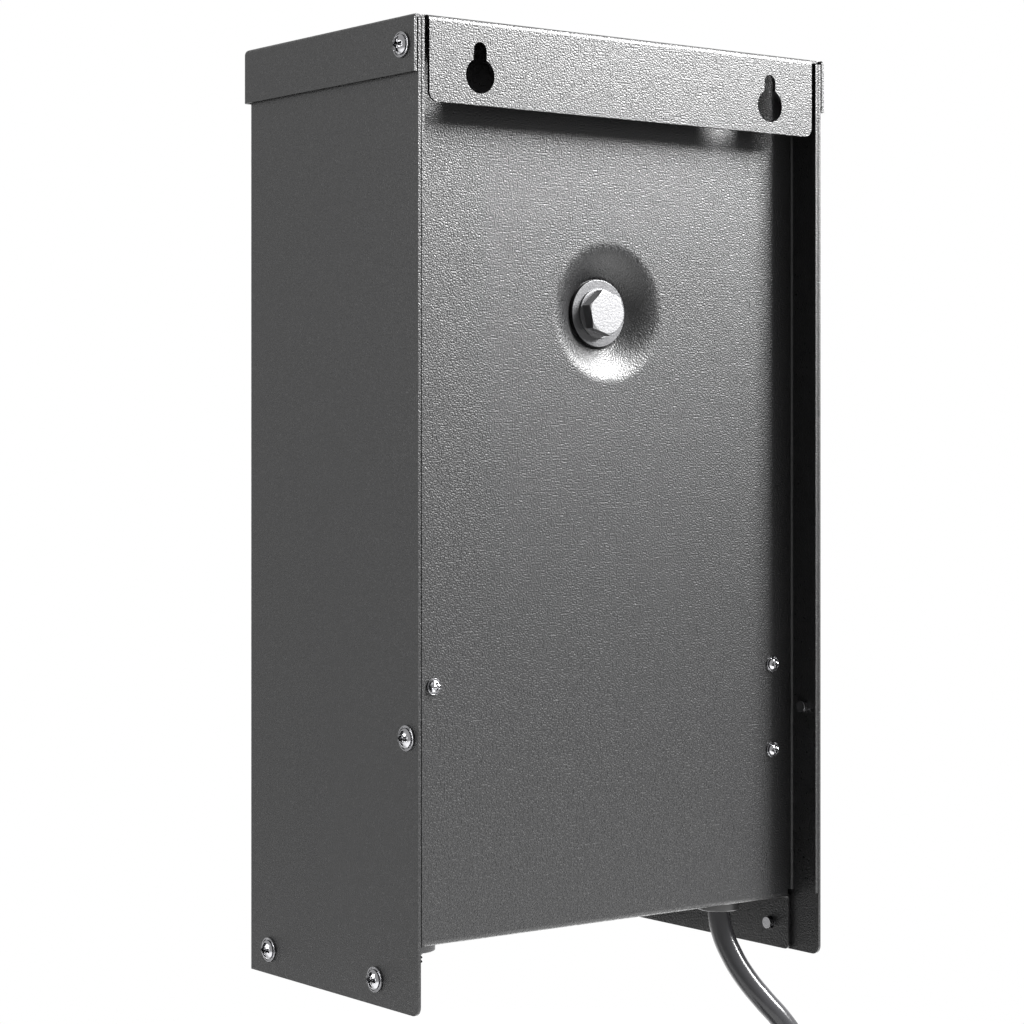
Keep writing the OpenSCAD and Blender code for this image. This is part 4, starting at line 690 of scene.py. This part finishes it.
def paint_recess_shade(shape, solid, deep, groove_radius, groove_top):
    """Paints shade on a screw's recess, its groove and a ring round its tip, by giving them the
    second, dark material
    """
    points = {point for face in solid for point in face.verts}
    low = Vector([min(point.co[i] for point in points) for i in range(3)])
    high = Vector([max(point.co[i] for point in points) for i in range(3)])
    size = high - low
    axis = min(range(3), key=lambda i: abs(size[i - 1] - size[i - 2]))
    centre = (low + high) / 2
    width = max(size[axis - 1], size[axis - 2])
    ends = {0: low[axis], 1: high[axis]}
    reach = {end: max((point.co - centre).length for point in points
                      if abs(point.co[axis] - ends[end]) < size[axis] / 4) for end in ends}
    head = max(reach, key=reach.get)
    for face in solid:
        place = face.calc_center_median()
        below = abs(place[axis] - ends[head])
        aside = flat_distance(place, centre, axis)
        along = abs(face.normal[axis])
        inside = aside < width * RECESS_SHARE
        wall = along < 0.5 and below < deep + WALL_SLACK and inside
        floor = along > 0.9 and abs(below - deep) < FLOOR_SLACK and inside
        groove = all(
            abs(flat_distance(point.co, centre, axis) - groove_radius) < GROOVE_HALF
            and abs(point.co[axis] - ends[head]) > groove_top - GROOVE_SLACK
            for point in face.verts)
        # These faces get the dark material as painted shade
        if wall or floor or groove:
            face.material_index = 1
    tips = [face for face in solid
            if abs(face.normal[axis]) > 0.9
            and abs(face.calc_center_median()[axis] - ends[head]) > size[axis] - TIP_SLACK]
    # A ring of painted shade round the tip
    ring = bmesh.ops.inset_region(shape, faces=tips, thickness=TIP_SHADE_RING, use_even_offset=True)
    for face in ring["faces"]:
        face.material_index = 1


def cross_screws(node):
    """Screws with shade painted dark into their recesses, grooves and round their tips"""
    width, *head_sizes = SCREWS[node]
    shape = rounded(node, width, 2, 32)
    for solid in list(islands(shape)):
        paint_recess_shade(shape, solid, *head_sizes)
    placed(
        shape, node + "_finished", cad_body(node), [finish("dull zinc"), finish("recess painted shade")],
        replaces=(node,))


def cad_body(node):
    for body, nodes in frame["record"]["behaviour"]["bodies"].items():
        if node in nodes:
            return body
    raise ValueError(node)


def placed(shape, name, body, materials, replaces=(), smooth=38):
    """Turns a finished bmesh into a piece that rides on a body"""
    mesh = bpy.data.meshes.new(name)
    shape.to_mesh(mesh)
    shape.free()
    for layer in ("custom_normal", "sharp_edge", "sharp_face"):
        found = mesh.attributes.get(layer)
        if found:
            mesh.attributes.remove(found)
    mesh.materials.clear()
    for material in materials:
        mesh.materials.append(material)
    mesh.shade_smooth()
    mesh.set_sharp_from_angle(angle=math.radians(smooth))
    piece = bpy.data.objects.new(name, mesh)
    bpy.context.collection.objects.link(piece)
    normals = piece.modifiers.new("even normals", "WEIGHTED_NORMAL")
    normals.keep_sharp = True
    normals.weight = 100
    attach(piece, body)
    if replaces:
        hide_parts(*replaces)
    return piece


def dress(node, look):
    """Gives a CAD node its finish"""
    for slot in frame["nodes"][node].material_slots:
        slot.material = finish(look)


def smooth_curve(name, points, radius, material, segments, steps):
    """A round curve of one open spline through points in metres"""
    curve = bpy.data.curves.new(name, "CURVE")
    curve.dimensions = "3D"
    curve.bevel_depth = radius
    curve.bevel_resolution = segments
    curve.use_fill_caps = True
    curve.resolution_u = steps
    spline = curve.splines.new("BEZIER")
    spline.bezier_points.add(len(points) - 1)
    for knot, point in zip(spline.bezier_points, points):
        knot.co = point
        knot.handle_left_type = "AUTO"
        knot.handle_right_type = "AUTO"
    curve.materials.append(material)
    piece = bpy.data.objects.new(name, curve)
    bpy.context.collection.objects.link(piece)
    return piece


def ring_skin(inner, outer, half, corner, segments, cuts, sectors, steps):
    """A closed ring about the Y axis with a rounded section, made of like sectors"""
    sector = bmesh.new()
    bmesh.ops.create_grid(sector, x_segments=1, y_segments=1, size=0.5)
    bmesh.ops.scale(sector, vec=(outer - inner, 2 * half, 1), verts=sector.verts)
    bmesh.ops.translate(sector, vec=((inner + outer) / 2, 0, 0), verts=sector.verts)
    bmesh.ops.bevel(
        sector, geom=sector.verts[:], offset=corner, offset_type="OFFSET", segments=segments,
        profile=0.5, affect="VERTICES", material=-1)
    straight = [e for e in sector.edges if e.calc_length() > corner]
    bmesh.ops.subdivide_edges(sector, edges=straight, cuts=cuts)
    bmesh.ops.delete(sector, geom=sector.faces[:], context="FACES_ONLY")
    angle = math.tau / sectors
    bmesh.ops.spin(
        sector, geom=sector.verts[:] + sector.edges[:], cent=(0, 0, 0), axis=(0, 1, 0),
        dvec=(0, 0, 0), angle=angle, steps=steps, use_merge=False, use_duplicate=False)
    mesh = bpy.data.meshes.new("sector")
    sector.to_mesh(mesh)
    sector.free()
    ring = bmesh.new()
    for _ in range(sectors):
        ring.from_mesh(mesh)
        mesh.transform(Matrix.Rotation(angle, 4, "Y"))
    bpy.data.meshes.remove(mesh)
    bmesh.ops.remove_doubles(ring, verts=ring.verts, dist=1e-6)
    bmesh.ops.recalc_face_normals(ring, faces=ring.faces)
    ring.normal_update()
    return ring


def added(shape, other):
    """Joins another bmesh to a shape"""
    mesh = bpy.data.meshes.new("joined")
    other.to_mesh(mesh)
    other.free()
    shape.from_mesh(mesh)
    bpy.data.meshes.remove(mesh)


def lap_height(phase):
    """How high a lap of tape stands along its width: up at its edge, then down to the next one"""
    return min(phase / TAPE_STEP, (1 - phase) / (1 - TAPE_STEP))


def wire_height(phase):
    return math.sqrt(max(0.0, 1 - (2 * phase - 1) ** 2))


# Turns, steps in each, height of their ridges, the ridge's form and the finish
WINDINGS = {
    "outer_tape": (52, 6, 0.00035, lap_height, "polyester tape"),
    "primary_winding": (110, 4, 0.0004, wire_height, "enamelled copper"),
    "secondary_winding": (84, 6, 0.0006, wire_height, "enamelled copper"),
}


def wound_ring(node, turns, steps, rise, height, look):
    """A ring that stands for a winding: its wall with a ridge for each turn, and its inner wall"""
    near, far = LAYERS[node]
    half = (TAPE_HIGH.y - TAPE_LOW.y) / 2
    shape = ring_skin(
        TOROID_HOLE + near, TOROID_RADIUS - near, half - near, TOROID_ROUND - near,
        5, 3, turns, steps)
    moves = []
    for point in shape.verts:
        phase = (math.atan2(point.co.z, point.co.x) / math.tau * turns + 0.001) % 1
        moves.append((point, point.normal * rise * (height(phase) - 1)))
    for point, move in moves:
        point.co += move
    hidden = ring_skin(
        TOROID_HOLE + far, TOROID_RADIUS - far, half - far, max(TOROID_ROUND - far, 0.0005),
        3, 1, 24, 3)
    bmesh.ops.reverse_faces(hidden, faces=hidden.faces[:])
    added(shape, hidden)
    bmesh.ops.translate(shape, vec=TOROID, verts=shape.verts)
    placed(shape, node + "_wound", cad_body(node), [finish(look)], replaces=(node,), smooth=60)


def ribbed_pad(node, look):
    """A rubber ring with round edges and fine ribs on both faces"""
    low, high = corners(node)
    half = (high.y - low.y) / 2
    shape = ring_skin(PAD_HOLES[node], (high.x - low.x) / 2, half, PAD_ROUND, 3, 33, 24, 4)
    for point in shape.verts:
        if abs(abs(point.co.y) - half) < 1e-6:
            rib = math.sin(math.hypot(point.co.x, point.co.z) * math.tau / RIB_PITCH)
            point.co.y -= math.copysign(RIB_HALF * (1 - rib), point.co.y)
    bmesh.ops.translate(shape, vec=middle(node), verts=shape.verts)
    placed(shape, node + "_moulded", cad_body(node), [finish(look)], replaces=(node,), smooth=60)


def foam_frame(node, look):
    """A strip of foam round the door's inner edge, with rounded edges"""
    low, high = corners(node)
    shape = bmesh.new()
    bmesh.ops.create_grid(shape, x_segments=1, y_segments=1, size=0.5)
    bmesh.ops.scale(shape, vec=(high.x - low.x, high.z - low.z, 1), verts=shape.verts)
    bmesh.ops.rotate(shape, cent=(0, 0, 0), matrix=Matrix.Rotation(math.pi / 2, 3, "X"),
                     verts=shape.verts)
    bmesh.ops.bevel(
        shape, geom=shape.verts[:], offset=GASKET_CORNER, offset_type="OFFSET", segments=4,
        profile=0.5, affect="VERTICES", material=-1)
    inside = shape.faces[:]
    bmesh.ops.inset_region(
        shape, faces=inside, thickness=GASKET_WIDTH, use_boundary=True, use_even_offset=True)
    bmesh.ops.delete(shape, geom=inside, context="FACES")
    made = bmesh.ops.extrude_face_region(shape, geom=shape.faces[:])
    moved = [g for g in made["geom"] if isinstance(g, bmesh.types.BMVert)]
    bmesh.ops.translate(shape, vec=(0, high.y - low.y, 0), verts=moved)
    bmesh.ops.recalc_face_normals(shape, faces=shape.faces)
    long_edges = [e for e in shape.edges if e.is_manifold and e.calc_face_angle(0) > 1.2
                  and abs(e.verts[0].co.y - e.verts[1].co.y) < 1e-6]
    bmesh.ops.bevel(
        shape, geom=long_edges, offset=GASKET_ROUND, offset_type="OFFSET", segments=4, profile=0.5,
        affect="EDGES", clamp_overlap=True, material=-1)
    bmesh.ops.translate(shape, vec=((low.x + high.x) / 2, low.y, (low.z + high.z) / 2),
                        verts=shape.verts)
    placed(shape, node + "_foam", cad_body(node), [finish(look)], replaces=(node,), smooth=60)


# Operators


class CaseSheets(bpy.types.Operator):
    """Case wrap, back with its bottom plate, and cap"""

    bl_idname = "transformer.case_sheets"
    bl_label = "Case sheets"

    def execute(self, context):
        for node in ("outer_wrap", "back_chassis", "top_cap"):
            softened(node, settings().coat.edge, 2, COAT)
        return {"FINISHED"}


class Door(bpy.types.Operator):
    """Door panel with its foam gasket"""

    bl_idname = "transformer.door"
    bl_label = "Door"

    def execute(self, context):
        softened("door_panel", settings().coat.edge, 2, COAT)
        foam_frame("door_gasket", "gasket foam")
        return {"FINISHED"}


class Hinges(bpy.types.Operator):
    """Hinge leaves, pins and rivets"""

    bl_idname = "transformer.hinges"
    bl_label = "Hinges"

    def execute(self, context):
        all_rounded("door_hinge_leaves", "frame_hinge_leaves", "hinge_pins", "hinge_rivets")
        return {"FINISHED"}


class Latch(bpy.types.Operator):
    """Quarter-turn latch of the door"""

    bl_idname = "transformer.latch"
    bl_label = "Latch"

    def execute(self, context):
        all_rounded("latch_housing", "latch_nut", "latch_knob", "latch_cam", "latch_screw")
        return {"FINISHED"}


class Fasteners(bpy.types.Operator):
    """Screws of the case and panel, and the centre bolt with its washers and nut"""

    bl_idname = "transformer.fasteners"
    bl_label = "Fasteners"

    def execute(self, context):
        for node in SCREWS:
            cross_screws(node)
        all_rounded("centre_bolt", "bolt_washers", "clamp_nut", "ground_screw", "ground_lug")
        return {"FINISHED"}


class Toroid(bpy.types.Operator):
    """Taped toroid with its windings, core, pads and clamp plate"""

    bl_idname = "transformer.toroid"
    bl_label = "Toroid"

    def execute(self, context):
        for node, winding in WINDINGS.items():
            wound_ring(node, *winding)
        dress("toroid_core", "strip steel")
        for node in PAD_HOLES:
            ribbed_pad(node, "pad rubber")
        all_rounded("clamp_plate")
        return {"FINISHED"}


class ControlPanel(bpy.types.Operator):
    """Bent panel that carries the timer and the terminals"""

    bl_idname = "transformer.control_panel"
    bl_label = "Control panel"

    def execute(self, context):
        all_rounded("control_panel")
        return {"FINISHED"}


class Timer(bpy.types.Operator):
    """Timer with its lens, display, board and buttons"""

    bl_idname = "transformer.timer"
    bl_label = "Timer"

    def execute(self, context):
        all_rounded("timer_front", "timer_back")
        dress("timer_display", "display glass")
        display_digits("display ink")
        dress("timer_board", "board green")
        all_rounded("timer_relay", "timer_battery", "button_switches")
        dress("timer_lens", "clear lens")
        all_rounded("set_button", "up_button", "down_button", "mode_button")
        return {"FINISHED"}


def raised(outline, place):
    """A flat outline turned to the front, raised by the ink's thickness and moved to its place"""
    bmesh.ops.rotate(outline, cent=(0, 0, 0), matrix=Matrix.Rotation(math.pi / 2, 3, "X"),
                     verts=outline.verts)
    made = bmesh.ops.extrude_face_region(outline, geom=outline.faces[:])
    moved = [g for g in made["geom"] if isinstance(g, bmesh.types.BMVert)]
    bmesh.ops.translate(outline, vec=(0, -DIGIT_RISE, 0), verts=moved)
    bmesh.ops.recalc_face_normals(outline, faces=outline.faces)
    bmesh.ops.translate(outline, vec=place, verts=outline.verts)
    return outline


def stroke(place, upright, half_height):
    """One stroke of a digit, a flat bar with pointed ends"""
    bar = bmesh.new()
    bmesh.ops.create_grid(bar, x_segments=1, y_segments=1, size=0.5)
    length = half_height if upright else DIGIT_WIDTH
    bmesh.ops.scale(bar, vec=(length - STROKE_GAP, DIGIT_STROKE, 1), verts=bar.verts)
    bmesh.ops.bevel(
        bar, geom=bar.verts[:], offset=DIGIT_STROKE * 0.45, offset_type="OFFSET", segments=1,
        profile=0.5, affect="VERTICES", material=-1)
    if upright:
        bmesh.ops.rotate(bar, cent=(0, 0, 0), matrix=Matrix.Rotation(math.pi / 2, 3, "Z"),
                         verts=bar.verts)
    return raised(bar, place)


def dot(place):
    outline = bmesh.new()
    bmesh.ops.create_circle(outline, cap_ends=True, segments=12, radius=DIGIT_STROKE * 0.6)
    return raised(outline, place)


def display_digits(look):
    """The time on the display, in strokes"""
    shape = bmesh.new()
    centre = middle("timer_display")
    half = DIGIT_HEIGHT / 2
    for k, sign in enumerate(SHOWN):
        at = Vector((centre.x + (k - (len(SHOWN) - 1) / 2) * DIGIT_PITCH, DISPLAY_LOW.y, centre.z))
        if sign == ":":
            for side in (-1, 1):
                added(shape, dot(at + Vector((0, 0, side * half / 2))))
            continue
        for name, (x, z) in STROKES.items():
            if name not in LEFT_OUT[sign]:
                added(shape, stroke(at + Vector((x * DIGIT_WIDTH / 2, 0, z * half)), x != 0, half))
    placed(
        shape, "display_digits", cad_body("timer_display"), [finish(look)])


class Terminals(bpy.types.Operator):
    """Terminal block with its clamps and screws"""

    bl_idname = "transformer.terminals"
    bl_label = "Terminals"

    def execute(self, context):
        all_rounded("terminal_block", "terminal_clamps", "terminal_screws")
        return {"FINISHED"}


class Breaker(bpy.types.Operator):
    """Circuit breaker with its ring nut, reset button and blades"""

    bl_idname = "transformer.breaker"
    bl_label = "Breaker"

    def execute(self, context):
        all_rounded("breaker_body", "breaker_nut", "breaker_button", "breaker_blades")
        return {"FINISHED"}


class Outlets(bpy.types.Operator):
    """Strain relief of the supply cord and grommet of the low voltage cables"""

    bl_idname = "transformer.outlets"
    bl_label = "Outlets"

    def execute(self, context):
        all_rounded("strain_relief", "cable_grommet")
        return {"FINISHED"}


class Leads(bpy.types.Operator):
    """Leads between the cord, the breaker, the toroid, the ground screw and the terminals"""

    bl_idname = "transformer.leads"
    bl_label = "Leads"

    def execute(self, context):
        routes = {
            "black_lead": offsets(BLACK_START, CORD_END) + offsets(BLACK_END, blade_end(-1)),
            "white_lead": offsets(WHITE_START, CORD_END) + offsets(WHITE_END, toroid_end(-1)),
            "green_lead": offsets(GREEN_START, CORD_END) + offsets(GREEN_END, LUG),
            "load_lead": offsets(LOAD_START, blade_end(1)) + offsets(LOAD_END, toroid_end(1)),
        }
        for name, route in routes.items():
            sleeve = finish(name.replace("_", " ") + " sleeve")
            lead = smooth_curve(name, route, LEAD_RADIUS, sleeve, LEAD_SEGMENTS, LEAD_STEPS)
            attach(lead, "case")
            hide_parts("supply_leads")
        for pole in range(POLES):
            lead = smooth_curve(
                f"secondary_lead_{pole}", secondary_route(pole), SECONDARY_RADIUS,
                finish("clear sleeve"), LEAD_SEGMENTS, LEAD_STEPS)
            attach(lead, "case")
            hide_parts("secondary_leads")
        return {"FINISHED"}


class SupplyCord(bpy.types.Operator):
    """Supply cord from the case to its plug, with the coil and its ties"""

    bl_idname = "transformer.supply_cord"
    bl_label = "Supply cord"

    def execute(self, context):
        size = settings().cord
        route = offsets(RUN_ROUTE + coil_route() + TAIL_ROUTE, GLAND)
        piece = smooth_curve("supply_cord", route, size.diameter / 2, finish("cord jacket"),
                             size.segments, CORD_STEPS)
        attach(piece, "case")
        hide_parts("supply_cord_run", "supply_cord_coil", "supply_cord_tail")
        others = all_rounded("cord_ties", "plug_body", "plug_blades", "plug_ground_pin")
        length = sum(math.dist(a, b) for a, b in zip(route, route[1:]))
        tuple(route[0])
        return {"FINISHED"}


class Stage(bpy.types.Operator):
    """Floor, lamps, background and camera"""

    bl_idname = "transformer.stage"
    bl_label = "Stage"

    def execute(self, context):
        looks = settings().stage
        scene = context.scene
        scene.view_settings.view_transform = "Standard"
        self.make_world(scene, looks.sky)
        self.make_floor(looks.floor)
        self.make_lamp("key_lamp", KEY_PLACE, KEY_AIM, KEY_SIZE, looks.key)
        self.make_lamp("side_lamp", SIDE_PLACE, STAGE_MIDDLE, SIDE_SIZE, looks.side)
        self.make_camera(scene)
        return {"FINISHED"}

    def make_world(self, scene, strength):
        world = bpy.data.worlds.new("plain surround")
        scene.world = world
        world.use_nodes = True
        nodes, links = world.node_tree.nodes, world.node_tree.links
        nodes.clear()
        out = nodes.new("ShaderNodeOutputWorld")
        surround = nodes.new("ShaderNodeBackground")
        surround.inputs["Color"].default_value = (1, 1, 1, 1)
        surround.inputs["Strength"].default_value = strength
        backdrop = nodes.new("ShaderNodeBackground")
        backdrop.inputs["Color"].default_value = (1, 1, 1, 1)
        backdrop.inputs["Strength"].default_value = 1.0
        path = nodes.new("ShaderNodeLightPath")
        seen = nodes.new("ShaderNodeMath")
        seen.operation = "MAXIMUM"
        links.new(path.outputs["Is Camera Ray"], seen.inputs[0])
        links.new(path.outputs["Is Glossy Ray"], seen.inputs[1])
        through = nodes.new("ShaderNodeMath")
        through.operation = "MAXIMUM"
        links.new(seen.outputs[0], through.inputs[0])
        links.new(path.outputs["Is Transmission Ray"], through.inputs[1])
        mix = nodes.new("ShaderNodeMixShader")
        links.new(through.outputs[0], mix.inputs["Fac"])
        links.new(surround.outputs[0], mix.inputs[1])
        links.new(backdrop.outputs[0], mix.inputs[2])
        links.new(mix.outputs[0], out.inputs["Surface"])

    def make_floor(self, colour):
        shape = bmesh.new()
        bmesh.ops.create_circle(shape, cap_ends=True, segments=96, radius=FLOOR_RADIUS)
        bmesh.ops.translate(
            shape, vec=(0, 0, CAD_BOX[0][2] - FLOOR_DROP), verts=shape.verts)
        mesh = bpy.data.meshes.new("floor")
        shape.to_mesh(mesh)
        shape.free()
        material, nodes, links, shader, place = new_material("pale floor")
        shader.inputs["Base Color"].default_value = (*colour, 1)
        shader.inputs["Roughness"].default_value = 0.8
        fade = nodes.new("ShaderNodeTexGradient")
        fade.gradient_type = "SPHERICAL"
        scale = nodes.new("ShaderNodeMapping")
        scale.inputs["Scale"].default_value = (0.95, 0.95, 0.0)
        links.new(place.outputs["Object"], scale.inputs["Vector"])
        links.new(scale.outputs[0], fade.inputs["Vector"])
        ramp = nodes.new("ShaderNodeMapRange")
        ramp.inputs["From Min"].default_value = 0.05
        ramp.inputs["From Max"].default_value = 0.45
        links.new(fade.outputs["Fac"], ramp.inputs["Value"])
        clear = nodes.new("ShaderNodeBsdfTransparent")
        mix = nodes.new("ShaderNodeMixShader")
        links.new(ramp.outputs["Result"], mix.inputs["Fac"])
        links.new(clear.outputs[0], mix.inputs[1])
        links.new(shader.outputs[0], mix.inputs[2])
        links.new(mix.outputs[0], nodes["Material Output"].inputs["Surface"])
        mesh.materials.append(material)
        floor = bpy.data.objects.new("floor", mesh)
        bpy.context.collection.objects.link(floor)

    def make_lamp(self, name, place, aim, size, power):
        data = bpy.data.lights.new(name, "AREA")
        data.shape = "RECTANGLE"
        data.size, data.size_y = size
        data.energy = power
        lamp = bpy.data.objects.new(name, data)
        lamp.location = place
        lamp.rotation_mode = "QUATERNION"
        lamp.rotation_quaternion = (aim - place).to_track_quat("-Z", "Y")
        lamp.visible_camera = False
        bpy.context.collection.objects.link(lamp)

    def make_camera(self, scene):
        data = bpy.data.cameras.new("camera")
        data.sensor_width = CAMERA_FILM
        data.lens = CAMERA_LENS
        data.shift_y = CAMERA_SHIFT
        data.clip_start = 0.05
        data.clip_end = 20
        camera = bpy.data.objects.new("camera", data)
        camera.location = CAMERA_PLACE
        camera.rotation_mode = "QUATERNION"
        camera.rotation_quaternion = CAMERA_AIM.to_track_quat("-Z", "Y")
        bpy.context.collection.objects.link(camera)
        scene.camera = camera


class TransformerPanel(bpy.types.Panel):
    """Lists the transformer's settings and pieces"""

    bl_idname = "VIEW3D_PT_transformer"
    bl_label = "Landscape transformer"
    bl_space_type = "VIEW_3D"
    bl_region_type = "UI"
    bl_category = "Transformer"

    def draw(self, context):
        values = settings()
        for part, names in (
                (values.coat, ("colour", "fleck", "roughness", "grain", "edge")),
                (values.cord, ("diameter", "colour", "segments")),
                (values.stage, ("key", "side", "sky", "floor"))):
            column = self.layout.column(align=True)
            for name in names:
                column.prop(part, name)
        for piece in PIECES:
            self.layout.operator(piece.bl_idname)


PIECES = (
    Stage, SupplyCord, CaseSheets, Door, Hinges, Latch, Fasteners, Toroid, ControlPanel, Timer,
    Terminals, Breaker, Outlets, Leads,
)
CLASSES = (
    CoatSettings, CordSettings, StageSettings, TransformerSettings, *PIECES, TransformerPanel,
)


def register():
    for each in CLASSES:
        bpy.utils.register_class(each)
    bpy.types.Scene.transformer = PointerProperty(type=TransformerSettings)


def unregister():
    del bpy.types.Scene.transformer
    for each in reversed(CLASSES):
        bpy.utils.unregister_class(each)


def main():
    register()
    for piece in PIECES:
        area, name = piece.bl_idname.split(".")
        getattr(getattr(bpy.ops, area), name)()


if __name__ == "__main__":
    main()
